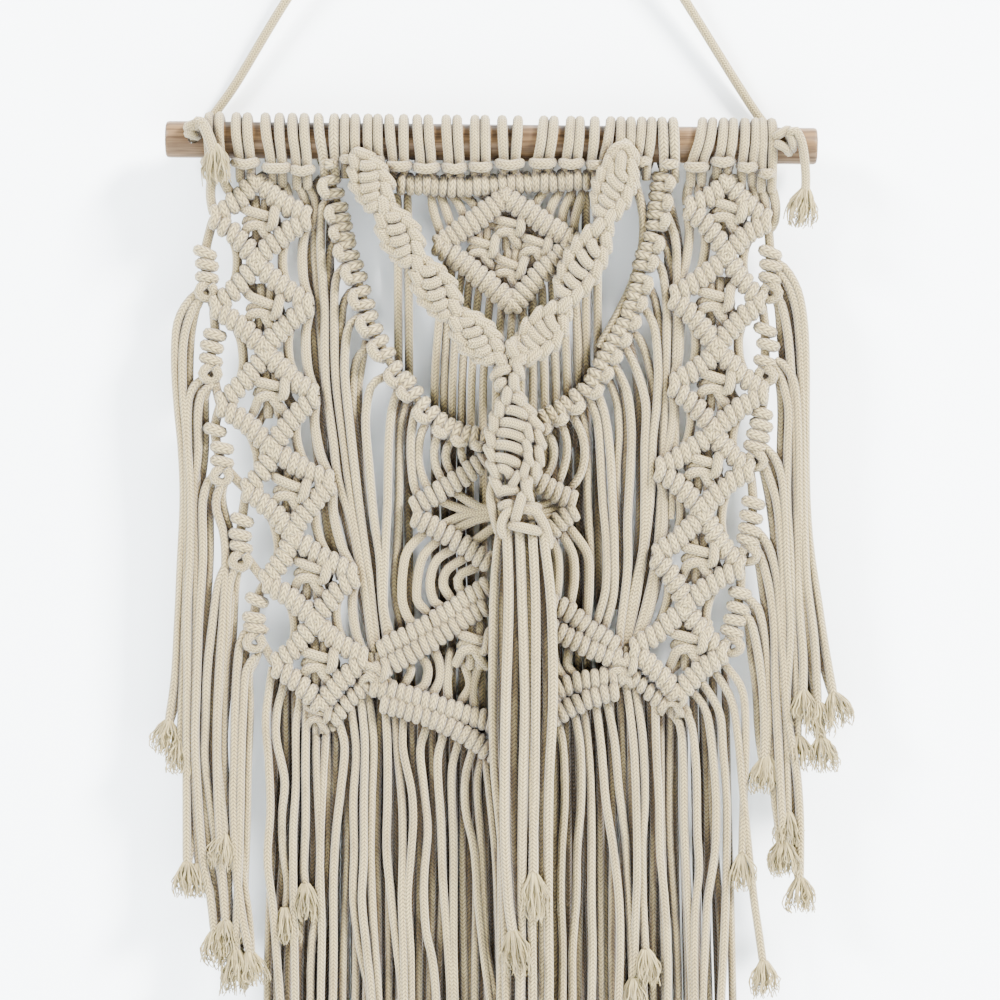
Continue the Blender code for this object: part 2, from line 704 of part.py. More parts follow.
SENNIT_SIDES = 8


def sennit_band(name, rows):
    """A flat oval band of knots that turns about its own middle as it runs down."""
    oval = bpy.data.curves.new("oval", "CURVE")
    oval.dimensions = "2D"
    ring = oval.splines.new("POLY")
    ring.points.add(SENNIT_SIDES - 1)
    ring.use_cyclic_u = True
    for i, point in enumerate(ring.points):
        angle = math.tau * i / SENNIT_SIDES
        point.co = (math.cos(angle) * MM, math.sin(angle) * SENNIT_FLATNESS * MM, 0, 1)
    section = loose("oval", oval)
    curve = bpy.data.curves.new(name, "CURVE")
    curve.dimensions = "3D"
    curve.twist_mode = "Z_UP"
    curve.bevel_mode = "OBJECT"
    curve.bevel_object = section
    curve.use_fill_caps = True
    spline = curve.splines.new("POLY")
    spline.points.add(len(rows) - 1)
    for point, (x, drop, y, half_width, half_turns) in zip(spline.points, rows):
        point.co = (*at(x, drop, y), 1.0)
        point.radius = half_width
        point.tilt = half_turns * math.pi
    band = baked(loose(name, curve))
    bpy.data.objects.remove(section, do_unlink=True)
    return band


def hung_sennit(name, rows, pairs, hanger_x):
    """A spiral sennit with the lark's heads that it starts from."""
    drop = dowel_drop(hanger_x)
    link = tube("link", ((hanger_x, drop + 4, -12.6), (hanger_x, drop + 18, -13.4)), 3.4, 2)
    pieces = [sennit_band("band", rows), link, *lark_rings(("a", "b"), pairs)]
    if len(pairs) > 1:
        low, high = pairs[0][0], pairs[-1][1]
        yoke = tube("yoke", ((low, drop + 8, -11.2), (high, drop + 8, -11.2)), 2.6, 2)
        pieces.append(yoke)
    whole = joined(name, pieces)
    finish(whole, name, material(f"cotton_{name}", COTTON, 0.9))


hung_sennit("sennit_left", SENNIT_LEFT, ((-80.6, -75.1), (-68.5, -63.6)), -69.5)
hung_sennit("sennit_right", SENNIT_RIGHT, ((64.0, 69.3),), 66.0)
finish(sennit_band("sennit_joined", SENNIT_JOINED), "sennit_joined",
       material("cotton_sennit_joined", COTTON, 0.9))


# Tassel strands: root x, bend x, bend drop, tip x, tip drop, width
TASSEL_TEETH = (
    (-1.0, -2.5, 300, -3.0, 520, 5.2),
    (5.0, 4.5, 300, 5.0, 545, 5.2),
    (11.0, 10.5, 300, 10.0, 427, 5.2),
    (17.0, 17.0, 300, 17.0, 400, 5.2),
    (23.0, 25.0, 300, 26.5, 535, 5.2),
)
TASSEL_ROOTS = (222, 218, 216, 218, 222)
TASSEL_TOP = ((-3.5, 222), (0.5, 209), (22, 209), (25.5, 222))


def make_tassel():
    """The square knot that gathers the sennits, and the long strands below it."""
    knot = joined("gathering_knot", [
        lump("knot", 8.5, 193.5, -19.5, (21, 13, 14)),
        tube("wrap", ((0.5, 201.5, -19.0), (21.5, 202.5, -19.0)), 4.4, 2),
    ])
    finish(knot, "gathering_knot", material("cotton_gathering_knot", COTTON, 0.9))
    outline = comb_outline(TASSEL_TOP, TASSEL_TEETH, TASSEL_ROOTS)
    tassel = plate("tassel", outline, -18.5, 7.0)
    drape(tassel, ((215, 0.0), (330, 4.5), (520, 5.5)))
    finish(tassel, "tassel", material("cotton_tassel", COTTON, 0.9))


make_tassel()


# ------------------------------------------------------------------ bottom fringe

FRINGE_TOP = (
    (-118, 289), (-95, 309), (-84, 313), (-71, 297.5), (-60, 305), (-3, 331), (30, 312.5),
    (60, 298.5), (70, 290), (88, 305), (94, 305), (119, 284),
)
FRINGE_TOOTH = 8.4
FRINGE_PITCH = 10.2
FRINGE_ROOT = 9.0
FRINGE_SPREAD = 1.08
FRINGE_LONGEST = 646.0
FRINGE_RISE = 58.0
FRINGE_WAVES = (2.2, -1.6, 0.8, -2.4, 1.4, -0.6, 2.0)
FRINGE_UNEVEN = (0.0, -16.0, -5.0, -24.0, -9.0, -30.0, -12.0)


def fringe_front():
    """The strands below the panels and the V bars: one comb with uneven ends."""
    low, high = FRINGE_TOP[0][0], FRINGE_TOP[-1][0]
    count = int((high - low) // FRINGE_PITCH)
    pitch = (high - low) / count
    teeth, roots = [], []
    for i in range(count):
        x = low + pitch * (i + 0.5)
        root = between(FRINGE_TOP, x) + FRINGE_ROOT
        wave = FRINGE_WAVES[i % len(FRINGE_WAVES)]
        spread = 1 + (FRINGE_SPREAD - 1) * 0.5
        tip = FRINGE_LONGEST - FRINGE_RISE * (x / high) ** 2
        tip += FRINGE_UNEVEN[i % len(FRINGE_UNEVEN)]
        teeth.append((x, x * spread + wave * 0.5, root + 130, x * FRINGE_SPREAD, tip,
                      FRINGE_TOOTH))
        roots.append(root)
    comb = plate(
        "fringe", comb_outline(FRINGE_TOP, teeth, roots), NET_Y, FILL - 0.6
    )
    drape(comb, ((300, 0.0), (420, 1.0)))
    finish(comb, "fringe_front", material("cotton_fringe_front", COTTON, 0.9))


fringe_front()
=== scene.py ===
import math
import random

import bmesh
import bpy
import numpy as np
from mathutils import Matrix, Vector


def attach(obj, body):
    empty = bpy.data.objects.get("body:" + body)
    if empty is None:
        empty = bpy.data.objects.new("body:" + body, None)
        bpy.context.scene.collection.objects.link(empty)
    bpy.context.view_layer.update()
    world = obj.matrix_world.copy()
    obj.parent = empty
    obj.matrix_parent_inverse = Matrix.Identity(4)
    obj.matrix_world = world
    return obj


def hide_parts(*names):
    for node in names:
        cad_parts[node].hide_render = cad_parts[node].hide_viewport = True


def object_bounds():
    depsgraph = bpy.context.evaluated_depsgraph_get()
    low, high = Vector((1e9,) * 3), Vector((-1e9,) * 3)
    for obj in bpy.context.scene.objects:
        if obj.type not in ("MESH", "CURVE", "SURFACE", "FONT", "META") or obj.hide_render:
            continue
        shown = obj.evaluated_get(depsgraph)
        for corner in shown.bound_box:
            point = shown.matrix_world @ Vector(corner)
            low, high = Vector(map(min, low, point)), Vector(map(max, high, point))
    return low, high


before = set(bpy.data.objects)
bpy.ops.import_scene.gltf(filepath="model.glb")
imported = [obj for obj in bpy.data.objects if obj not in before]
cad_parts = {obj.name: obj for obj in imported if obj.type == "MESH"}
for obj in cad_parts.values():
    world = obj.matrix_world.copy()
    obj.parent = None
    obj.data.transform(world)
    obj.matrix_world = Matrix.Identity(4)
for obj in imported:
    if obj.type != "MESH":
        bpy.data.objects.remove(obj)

bl_info = {
    "name": "Macrame Wall Hanging",
    "version": (1, 0, 0),
    "blender": (4, 5, 0),
    "location": "View3D > Sidebar > Macrame",
    "description": "Ties a macrame wall hanging on its dowel, cord by cord, with its stage",
    "category": "Add Mesh",
}

MM = 0.001
MM_PER_CM = 10.0
MM_PER_M = 1000.0
CAD_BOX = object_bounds()

# Places are in millimetres as (x, drop, y): drop is measured down from the dowel's axis, and y
# grows towards the wall behind. The nail is at x 0, y 0, and HOOK_HEIGHT above the dowel's axis.
HOOK_HEIGHT = 218.0
TO_WALL = np.array((0.0, 0.0, 1.0))
TO_FRONT = np.array((0.0, 0.0, -1.0))
# The angles of a turn of cord that closes on itself.
TURN = np.linspace(0.0, 2 * math.pi, 10, endpoint=False)[:, None]

DOWEL_RADIUS = 9.6
DOWEL_LEFT, DOWEL_RIGHT = -175.0, 167.0
DOWEL_MIDDLE_X = (DOWEL_LEFT + DOWEL_RIGHT) / 2
DOWEL_TILT = math.radians(0.62)
HOLE_LEFT_X, HOLE_RIGHT_X, HOLE_RADIUS = -160.0, 153.0, 3.1


# ---------------------------------------------------------------- sizes and colours


class MacrameSizes(bpy.types.PropertyGroup):
    """Sizes of the cord and of the knots tied in it."""

    cord_diameter: bpy.props.FloatProperty(
        name="Cord", description="Diameter of the cotton cord", default=0.0050, subtype="DISTANCE",
        unit="LENGTH",
    )
    strand_diameter: bpy.props.FloatProperty(
        name="Strand", description="Diameter of a strand that hangs free, drawn out a little thinner",
        default=0.0046, subtype="DISTANCE", unit="LENGTH",
    )
    small_pitch: bpy.props.FloatProperty(
        name="Panel Hitch", description="Step from one hitch to the next in the side panels", default=0.0053,
        subtype="DISTANCE", unit="LENGTH",
    )
    large_pitch: bpy.props.FloatProperty(
        name="Bar Hitch", description="Step from one hitch to the next in the thick bars", default=0.0044,
        subtype="DISTANCE", unit="LENGTH",
    )
    wall_gap: bpy.props.FloatProperty(
        name="Wall Gap", description="From the nail's middle to the wall of the stage", default=0.0226,
        subtype="DISTANCE", unit="LENGTH",
    )


class MacrameColours(bpy.types.PropertyGroup):
    """Colours of the cotton with its painted shade, the wood and the stage."""

    cotton: bpy.props.FloatVectorProperty(
        name="Cotton", description="Natural cotton where light meets it", default=(0.365, 0.292, 0.132),
        subtype="COLOR", min=0.0, max=1.0,
    )
    # Painted shade: the colour of the grooves between the plaits, far darker than the cotton itself.
    cotton_groove_shade: bpy.props.FloatVectorProperty(
        name="Cotton Folds", description="The same cotton between the plaits", default=(0.040, 0.027, 0.012),
        subtype="COLOR", min=0.0, max=1.0,
    )
    # Painted shade: the cotton's colour is multiplied towards this where cords lie deep between others or
    # behind them.
    crease_shade: bpy.props.FloatVectorProperty(
        name="Cotton Creases", description="What the cotton's colour is multiplied by deep between the cords",
        default=(0.215, 0.16, 0.105), subtype="COLOR", min=0.0, max=1.0,
    )
    speck: bpy.props.FloatVectorProperty(
        name="Seed Specks", description="Small tan specks left in unbleached cotton",
        default=(0.17, 0.11, 0.055), subtype="COLOR", min=0.0, max=1.0,
    )
    wood: bpy.props.FloatVectorProperty(
        name="Wood", description="Light wood of the dowel", default=(0.150, 0.091, 0.044), subtype="COLOR",
        min=0.0, max=1.0,
    )
    wood_dark: bpy.props.FloatVectorProperty(
        name="Wood Grain", description="Dark lines of the wood's grain", default=(0.034, 0.018, 0.008),
        subtype="COLOR", min=0.0, max=1.0,
    )
    wall: bpy.props.FloatVectorProperty(
        name="Wall", description="Pale wall of the stage", default=(0.93, 0.97, 1.0), subtype="COLOR",
        min=0.0, max=1.0,
    )


def sizes():
    return bpy.context.scene.macrame_sizes


def colours():
    return bpy.context.scene.macrame_colours


def put(name, data):
    """A new object in the scene, at the origin."""
    made = bpy.data.objects.new(name, data)
    bpy.context.scene.collection.objects.link(made)
    return made


def read(items, name, wide):
    """A value of every item of a mesh, as rows of a given width."""
    values = np.empty(wide * len(items), np.float32)
    items.foreach_get(name, values)
    return values.reshape(-1, wide)


# ---------------------------------------------------------------- cords


def place(points):
    """Metres in the model's frame from (x, drop, y) in millimetres."""
    p = np.asarray(points, float)
    return np.column_stack([p[:, 0], p[:, 2], -(HOOK_HEIGHT + p[:, 1])]) * MM


def at_depth(points, y):
    """Points of (x, drop) set at one depth."""
    return [(*p[:2], y) for p in points]


def lengths(points):
    """How far along the line each of its points lies."""
    steps = np.linalg.norm(np.diff(points, axis=0), axis=1)
    return np.concatenate([[0.0], np.cumsum(steps)])


def even(points, step, closed=False):
    """The same line with its points evenly spaced, about step apart."""
    p = np.asarray(points, float)
    if closed:
        p = np.vstack([p, p[:1]])
    along = lengths(p)
    count = max(2, int(round(along[-1] / step)) + 1)
    if closed:
        count = max(7, count)
    where = np.linspace(0.0, along[-1], count)
    out = np.column_stack([np.interp(where, along, p[:, k]) for k in range(p.shape[1])])
    return out[:-1] if closed else out


def smooth(points, step=4.0, closed=False):
    """A smooth line through the points, evenly spaced."""
    p = np.asarray(points, float)
    p = np.vstack([p[-1:], p, p[:2]]) if closed else np.vstack([2 * p[0] - p[1], p, 2 * p[-1] - p[-2]])
    t = np.linspace(0.0, 1.0, 10, endpoint=False)[:, None]
    parts = []
    for a, b, c, d in zip(p[:-3], p[1:-2], p[2:-1], p[3:]):
        span = max(np.linalg.norm(c - b), 1e-6)
        before = (c - a) * min(1.0, 2 * span / max(np.linalg.norm(c - a), 1e-6)) * 0.5
        after = (d - b) * min(1.0, 2 * span / max(np.linalg.norm(d - b), 1e-6)) * 0.5
        parts.append(
            (2 * t**3 - 3 * t**2 + 1) * b + (t**3 - 2 * t**2 + t) * before
            + (3 * t**2 - 2 * t**3) * c + (t**3 - t**2) * after
        )
    if not closed:
        parts.append(p[-2:-1])
    return even(np.vstack(parts), step, closed)


CORD_PIECES = []
# How a cord's ends are made: their share of its thickness, and how far back they go when tucked in.
END_SIZE = 0.86
TUCK_DEPTH = 1.4


class Cords:
    """The runs of cord that make up one piece, and the combed-out ends on them."""

    def __init__(self, seed):
        self.chance = random.Random(seed)
        self.runs = []

    def add(self, points, radius, closed=False, tone=None):
        """One run with its radius, or a radius at each point, and how warm its cotton is, from 0 to 1."""
        points = np.asarray(points, float)
        radius = np.broadcast_to(np.asarray(radius, float), (len(points),))
        if tone is None:
            tone = self.chance.uniform(0.0, 1.0)
        self.runs.append((points, radius, closed, tone))

    def line(self, points, radius, step=4.0, tuck=0.0):
        """One length of cord through the points, its ends a little thinner and, with tuck, run on behind."""
        points = np.asarray(points, float)
        if tuck:
            first, last = points[0] - points[1], points[-1] - points[-2]
            behind = (0, 0, TUCK_DEPTH)
            points = np.vstack([
                points[0] + first / np.linalg.norm(first) * tuck + behind, points,
                points[-1] + last / np.linalg.norm(last) * tuck + behind,
            ])
        path = smooth(points, step)
        width = np.full(len(path), radius)
        width[0] *= END_SIZE
        width[-1] *= END_SIZE
        self.add(path, width)

    def lines(self, flat, y, radius, step, tuck=0.0):
        """A cord through each list of (x, drop) points, all at one depth."""
        for points in flat:
            self.line(at_depth(points, y), radius, step, tuck)


def cord_curve(name, thick, sides):
    """An empty curve whose runs are drawn as round cord with closed ends."""
    curve = bpy.data.curves.new(name, "CURVE")
    curve.dimensions = "3D"
    curve.bevel_depth = thick
    curve.bevel_resolution = sides
    curve.use_fill_caps = True
    return curve


def add_spline(curve, where):
    """A run of straight steps through places in metres."""
    spline = curve.splines.new("POLY")
    spline.points.add(len(where) - 1)
    spline.points.foreach_set("co", np.column_stack([where, np.ones(len(where))]).ravel())
    spline.use_smooth = True
    return spline


# The plaits of each cord start somewhere else: how far on, and after how many centimetres it starts again.
PLAIT_SHIFT, PLAIT_CYCLE = 1.37, 7.0


def tube_mesh(name, runs, sides):
    """A mesh of round cords: its UV map runs along each cord in centimetres and once round it."""
    curve = cord_curve(name, MM, sides)
    for points, radius, closed, _ in runs:
        spline = add_spline(curve, place(points))
        spline.points.foreach_set("radius", radius)
        spline.use_cyclic_u = closed
    helper = put(name + ".path", curve)
    graph = bpy.context.evaluated_depsgraph_get()
    mesh = bpy.data.meshes.new_from_object(helper.evaluated_get(graph))
    bpy.data.objects.remove(helper)
    bpy.data.curves.remove(curve)
    mesh.name = name
    round_count = 2 * sides + 4
    # The caps of the open runs come first, last run foremost; the bodies of all runs follow in order.
    capped = [k for k, run in enumerate(runs) if not run[2]][::-1]
    owner = np.repeat(
        np.array(capped + list(range(len(runs)))),
        [2 * round_count] * len(capped) + [round_count * len(run[0]) for run in runs],
    )
    if len(owner) != len(mesh.vertices):
        raise RuntimeError(f"{name}: {len(mesh.vertices)} vertices where {len(owner)} were expected")
    along = np.array([lengths(p)[-1] for p, _, _, _ in runs]) / MM_PER_CM
    start = np.cumsum(along) * PLAIT_SHIFT
    tones = np.array([tone for _, _, _, tone in runs])
    corner = np.empty(len(mesh.loops), np.int32)
    mesh.loops.foreach_get("vertex_index", corner)
    layer = mesh.uv_layers[0]
    uv = read(layer.data, "uv", 2)
    uv[:, 0] = uv[:, 0] * along[owner[corner]] + start[owner[corner]] % PLAIT_CYCLE
    layer.data.foreach_set("uv", uv.ravel())
    tint = mesh.attributes.new("tone", "FLOAT", "POINT")
    tint.data.foreach_set("value", tones[owner].astype(np.float32))
    mesh.shade_smooth()
    return mesh


def cord_piece(name, cords, material, replaces=(), sides=2):
    """One finished piece from its runs of cord."""
    mesh = tube_mesh(name, cords.runs, sides)
    mesh.materials.clear()
    mesh.materials.append(material)
    piece = put(name, mesh)
    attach(piece, "root")
    if replaces:
        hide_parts(*replaces)
    CORD_PIECES.append((piece, cords))
    return piece


# The grid that works out the painted shade between the cords: its cell and its margin round the solids' box,
# in metres.
SHADE_CELL, SHADE_MARGIN = 0.0015, 0.03
# A run thinner than this radius is a loose fibre, and darkens no neighbour with painted shade.
FIBRE_LIMIT = 1.0
# Steps between the points that fill the grid.
FILL_STEP = 1.2


def cells_at(places, low, shape):
    """The grid's cells that hold the places, kept inside the grid."""
    at = np.clip(np.rint((places - low) / SHADE_CELL).astype(int), 0, np.array(shape) - 1)
    return at[:, 0], at[:, 1], at[:, 2]


def filled_cells(low, shape):
    """Which cells of a grid over the whole net hold cord, as ones among zeros."""
    grid = np.zeros(shape, np.float32)
    beside = (-1, 0, 1)
    for _, cords in CORD_PIECES:
        if cords.runs[0][1].max() <= FIBRE_LIMIT:
            continue
        spots = np.vstack([even(p, FILL_STEP, closed) for p, _, closed, _ in cords.runs if len(p) > 2])
        at = np.rint((place(spots) - low) / SHADE_CELL).astype(int)
        for shift in ((i, j, k) for i in beside for j in beside for k in beside):
            there = np.clip(at + shift, 0, np.array(shape) - 1)
            grid[there[:, 0], there[:, 1], there[:, 2]] = 1.0
    return grid


def spread(grid, times):
    """The grid with each cell shared out over its neighbours, as many times as asked."""
    for _ in range(times):
        for axis in range(3):
            grid = (np.roll(grid, 1, axis) + grid + np.roll(grid, -1, axis)) / 3.0
    return grid


def paint_crease_shade():
    """Paint shade into the cords: give every point a measure, 0 to 1, of how deep it lies between other cords
    and behind them, to darken its colour by.
    """
    low = np.array([*CAD_BOX[0]]) - SHADE_MARGIN
    high = np.array([*CAD_BOX[1]]) + SHADE_MARGIN
    shape = tuple(np.ceil((high - low) / SHADE_CELL).astype(int))
    near = spread(filled_cells(low, shape), 1)
    wide = spread(near, 3)
    front = np.array((0.0, -1.0, 0.0))
    for piece, _ in CORD_PIECES:
        mesh = piece.data
        spots, facing = read(mesh.vertices, "co", 3), read(mesh.vertices, "normal", 3)
        # Painted shade from cord just off the surface and from cord all round it, and painted shadow from
        # cord that hangs in front of it.
        close = (0.6 * near[cells_at(spots + facing * 0.0022, low, shape)]
                 + 0.4 * near[cells_at(spots + facing * 0.0042, low, shape)])
        around = wide[cells_at(spots + facing * 0.002 + front * 0.0035, low, shape)]
        ahead = wide[cells_at(spots + front * 0.007, low, shape)] * np.clip(0.6 - facing[:, 1], 0.0, 1.0)
        deep = np.clip(1.5 * close + 2.0 * np.clip(around - 0.13, 0.0, 1.0) + 1.1 * ahead, 0.0, 1.0)
        # What faces the back lies open, so the painted shade there is cut to a faint share.
        deep *= 1.0 - 0.8 * np.clip(1.5 * facing[:, 1], 0.0, 1.0)
        # The measure is kept on each point as the painted shade that the cotton's colour is darkened by.
        layer = mesh.attributes.new("crease_shade", "FLOAT", "POINT")
        layer.data.foreach_set("value", deep.astype(np.float32))


def flat_axes(path):
    """For each point of a line, the way it runs and the way across it, flat along the wall."""
    ahead = np.gradient(path, axis=0)
    ahead /= np.linalg.norm(ahead, axis=1)[:, None]
    across = np.cross(ahead, TO_WALL)
    across /= np.maximum(np.linalg.norm(across, axis=1), 1e-9)[:, None]
    return ahead, across


# ---------------------------------------------------------------- knots


# A hitch is a little flatter than it is tall, and its holding cord a little thinner than its own.
HITCH_FLATNESS, CORE_SIZE = 0.9, 0.95


def hitches(cords, line, pitch, ring, cord, lean):
    """Half hitches side by side round a holding cord that follows the line, each leaning towards upright."""
    whole = smooth(line, 1.0)
    spots = even(whole, pitch)
    ahead, across = flat_axes(spots)
    chance = cords.chance
    out = TO_WALL * HITCH_FLATNESS
    for spot, forward, side in zip(spots, ahead, across):
        tilt = -math.copysign(lean, forward[0] * forward[1]) + chance.uniform(-0.08, 0.08)
        size = ring * chance.uniform(0.96, 1.06)
        u = side * math.cos(tilt) + forward * math.sin(tilt)
        middle = spot + forward * chance.uniform(-0.25, 0.25) + side * chance.uniform(-0.35, 0.35)
        circle = middle + size * (np.cos(TURN) * u + np.sin(TURN) * out)
        cords.add(circle, cord * chance.uniform(0.97, 1.04), True)
    cords.line(whole[:: max(1, int(len(whole) / 12))], cord * CORE_SIZE, 4.0)


def turned(points, middle, size, angle):
    """Knot points (x, drop, y) sized and turned about their middle, then moved there."""
    p = np.array(points, float) * size
    c, s = math.cos(angle), math.sin(angle)
    x, drop = p[:, 0] * c - p[:, 1] * s, p[:, 0] * s + p[:, 1] * c
    return np.column_stack([x, drop, p[:, 2]]) + np.asarray(middle, float)


# A square knot's cords about its middle: the two that tie it, a lower pass that shows, and two cores.
SQUARE_KNOT = (
    ((-12, -11, 0.5), (-8.5, -6.8, -2.5), (-4, -5.0, -5), (1.5, -3.2, -5.6), (5.4, -2.2, -3.8),
     (8.5, -1.0, 0.5), (8, 3.0, 1.5), (10.5, 8, 0.5), (13, 12, 0.5)),
    ((12, -11, 0.5), (9.0, -8.2, -3), (7.8, -4, -6.6), (7.0, 1.4, -7.0), (5.4, 3.6, -5.0), (2.0, 2.6, -4.2),
     (-3, 2.0, -5.2), (-7.4, 3.6, -3.8), (-9.2, 7.4, -1), (-12, 12, 0.5)),
    ((-8.6, 0.8, 0.5), (-6.4, -1.2, -2.4), (-2.4, -0.9, -3.6), (1.6, 5.4, -4.4), (4.4, 9.2, -2.6),
     (7.0, 13, 0.5)),
    ((-3, -14, 0.5), (-2.6, -8, -0.5), (-2.4, 0, -0.8), (-2.6, 8, -0.5), (-3, 14, 0.5)),
    ((3, -14, 0.5), (2.6, -8, -0.5), (2.4, 0, -0.8), (2.6, 8, -0.5), (3, 14, 0.5)),
)


SQUARE_KNOT_CORD = 2.75


def square_knot(cords, x, drop, y, size, angle=0.0):
    """A square knot; in a small one the cords are drawn thinner too."""
    for points in SQUARE_KNOT:
        cords.line(turned(points, (x, drop, y), size, angle), SQUARE_KNOT_CORD * min(1.0, size + 0.1), 2.6)


def dowel_drop(x):
    """How far the tilted dowel's axis lies below its middle at x."""
    return (x - DOWEL_MIDDLE_X) * math.tan(DOWEL_TILT)


# A turn over the dowel: degrees round it, 0 in front and 90 on top, and how far over to its strand it is.
OVER_DOWEL = ((-110, 0.5), (-150, 0.3), (180, 0.1), (135, 0), (90, 0), (45, 0.12), (0, 0.4), (-32, 0.75))
LARK_REACH = DOWEL_RADIUS + 2.6
LARK_STRAND_GAP = 2.75
LARK_CORD = 2.85


def lark_on_dowel(cords, left, right, bar_left, bar_right, bar_drop):
    """A lark's head on the dowel: its bar in front, two turns over the wood, and strands behind the bar."""
    centre = (bar_left + bar_right) / 2
    for x, side in ((left, -1), (right, 1)):
        level = dowel_drop(x)
        near = centre + side * LARK_STRAND_GAP
        path = []
        for degrees, lean in OVER_DOWEL:
            a = math.radians(degrees)
            path.append((x + (near - x) * lean, level - LARK_REACH * math.sin(a), -LARK_REACH * math.cos(a)))
        path += [(near, bar_drop - 1.0, -8.2), (near, bar_drop + 4.5, -6.0), (near, bar_drop + 9, -4.6)]
        cords.line(path, 2.68, 2.8)
    inset = 2.2
    sag = cords.chance.uniform(0.1, 1.0)
    rounded = [
        (bar_left + inset - 0.2, bar_drop - 1.6, -6.2), (bar_left + inset, bar_drop - 0.7, -9.8),
        (bar_left + inset + 2.0, bar_drop, -12.6), (centre, bar_drop + sag, -13.6),
        (bar_right - inset - 2.0, bar_drop, -12.6), (bar_right - inset, bar_drop - 0.7, -9.8),
        (bar_right - inset + 0.2, bar_drop - 1.6, -6.2),
    ]
    cords.line(rounded, 2.7, 1.8)


def larks_on_dowel(cords, rows):
    for row in rows:
        lark_on_dowel(cords, *row)


def lark_on_cord(cords, spot, forward, outward, reach):
    """A lark's head on a carrying cord, twice reach wide: two turns round it and a bar on its outer side."""
    chance = cords.chance
    for way in (-1, 1):
        u = outward - forward * chance.uniform(0.0, 0.12) * way
        middle = spot + forward * (way * reach / 2 + chance.uniform(-0.2, 0.2)) + outward * 0.8
        cords.add(middle + 3.7 * np.cos(TURN) * u + 3.2 * np.sin(TURN) * TO_WALL, LARK_CORD * 1.04, True)
    low = spot + outward * 4.2 - TO_WALL * 4.2
    lift = forward * (reach - 2.8)
    bow = math.copysign(1.1, float(np.dot(np.cross(lift, TO_FRONT), outward)))
    pill(cords, low - lift, low + lift, 1.6, 4.4, LARK_CORD * 0.98, bow)


PICOT_CORD = 3.15
PICOT_HALF_WIDTH = 6.6 - PICOT_CORD


def picot(cords, column):
    """A stack of wraps beside the panel, one over another."""
    across, forth = PICOT_HALF_WIDTH * np.cos(TURN[:, 0]), 2.8 * np.sin(TURN[:, 0])
    for x, drop in column:
        tilt = cords.chance.uniform(0.15, 0.42)
        cords.add(np.column_stack([x + across, drop + across * tilt, -4.6 + forth]), PICOT_CORD, True)


def pill(cords, start, end, bulge, dive, cord, arch=0.0):
    """A short stretch of cord that shows between start and end and dives in behind its neighbours there."""
    start, end = np.asarray(start, float), np.asarray(end, float)
    t = np.linspace(-1.12, 1.12, 10)[:, None]
    path = (start + end) / 2 + (end - start) / 2 * t + TO_FRONT * (bulge - (bulge + dive) * np.abs(t) ** 4)
    if arch:
        aside = np.cross(end - start, TO_FRONT)
        path = path + aside / np.linalg.norm(aside) * arch * (1.0 - 2.0 * t ** 2)
    cords.add(path, cord * cords.chance.uniform(0.97, 1.03))


# Each link of a sennit's chain: half its length, and how far it leans off the chain's way.
LINK_REACH, LINK_TWIST = 4.3, 0.3


def links(cords, route, pitch, cord):
    """A chain of short turns along a route, each lying along it and lapping over the next."""
    spots = even(smooth(route, 1.0), pitch)
    ahead = np.gradient(spots, axis=0)
    ahead /= np.linalg.norm(ahead, axis=1)[:, None]
    for spot, forward in zip(spots, ahead):
        side = np.cross(forward, TO_WALL)
        lean = LINK_TWIST + cords.chance.uniform(-0.06, 0.06)
        half = (forward * math.cos(lean) + side * math.sin(lean)) * LINK_REACH
        half *= cords.chance.uniform(0.94, 1.06)
        pill(cords, spot - half, spot + half, 1.1, 3.2, cord)


# Where a sennit's outer chain runs in a lobe: share of its length, share of its half width, and how far out.
CHAIN = ((-0.04, 0.30, 1.0), (0.16, 0.74, 1.2), (0.38, 1.0, 1.0), (0.62, 0.92, 1.6), (0.82, 0.54, 2.6),
         (1.0, 0.0, 3.2), (1.17, -0.52, 2.0), (1.38, -0.86, 0.8), (1.62, -0.88, 0.2), (1.82, -0.62, -0.6))
# The first lobe's chain on its other side, which no lobe above it brings.
FIRST_CHAIN = ((0.04, -0.45, 0.8), (0.25, -0.85, 0.6), (0.5, -0.95, 0.2), (0.75, -0.75, -0.2))
CHAIN_PITCH = 8.0
SENNIT_CORE = 4.2


def sennit(cords, waists, wide, rungs, cord):
    """A spiral sennit along its waists: rungs across each lobe, and a chain that crosses over at each waist.

    Each rung has its share of the lobe's length and of its half width, its own half length and its tilt.
    """
    waists = np.asarray(waists, float)

    def spot(lobe, along, across, forth):
        if along > 1.0 and lobe + 2 < len(waists):
            lobe, along = lobe + 1, along - 1.0
        run = waists[lobe + 1] - waists[lobe]
        forward = run / np.linalg.norm(run)
        side = np.array((forward[1], -forward[0], 0.0))
        return waists[lobe] + run * along + side * wide * across + TO_FRONT * forth

    for lobe in range(len(waists) - 1):
        for along, across, half, tilt in rungs:
            tilt += cords.chance.uniform(-0.06, 0.06)
            way = np.array((math.cos(tilt), math.sin(tilt), 0.0)) * half
            middle = spot(lobe, along, across, 2.4)
            pill(cords, middle - way, middle + way, 1.6, 2.6, cord * 0.97, 0.7)
        last = lobe + 2 == len(waists)
        route = [spot(lobe, *share) for share in CHAIN if not (last and share[0] > 1.0)]
        links(cords, route, CHAIN_PITCH, cord * 1.06)
    links(cords, [spot(0, *share) for share in FIRST_CHAIN], CHAIN_PITCH, cord)
    cords.line(waists + (0.0, 0.0, 1.6), SENNIT_CORE, 4.0)


# A combed-out fibre's radius where it leaves the cord and at its tip, and where in the cord it starts.
FIBRE_ROOT, FIBRE_TIP = 0.55, 0.26
FIBRE_INSET = 2.0


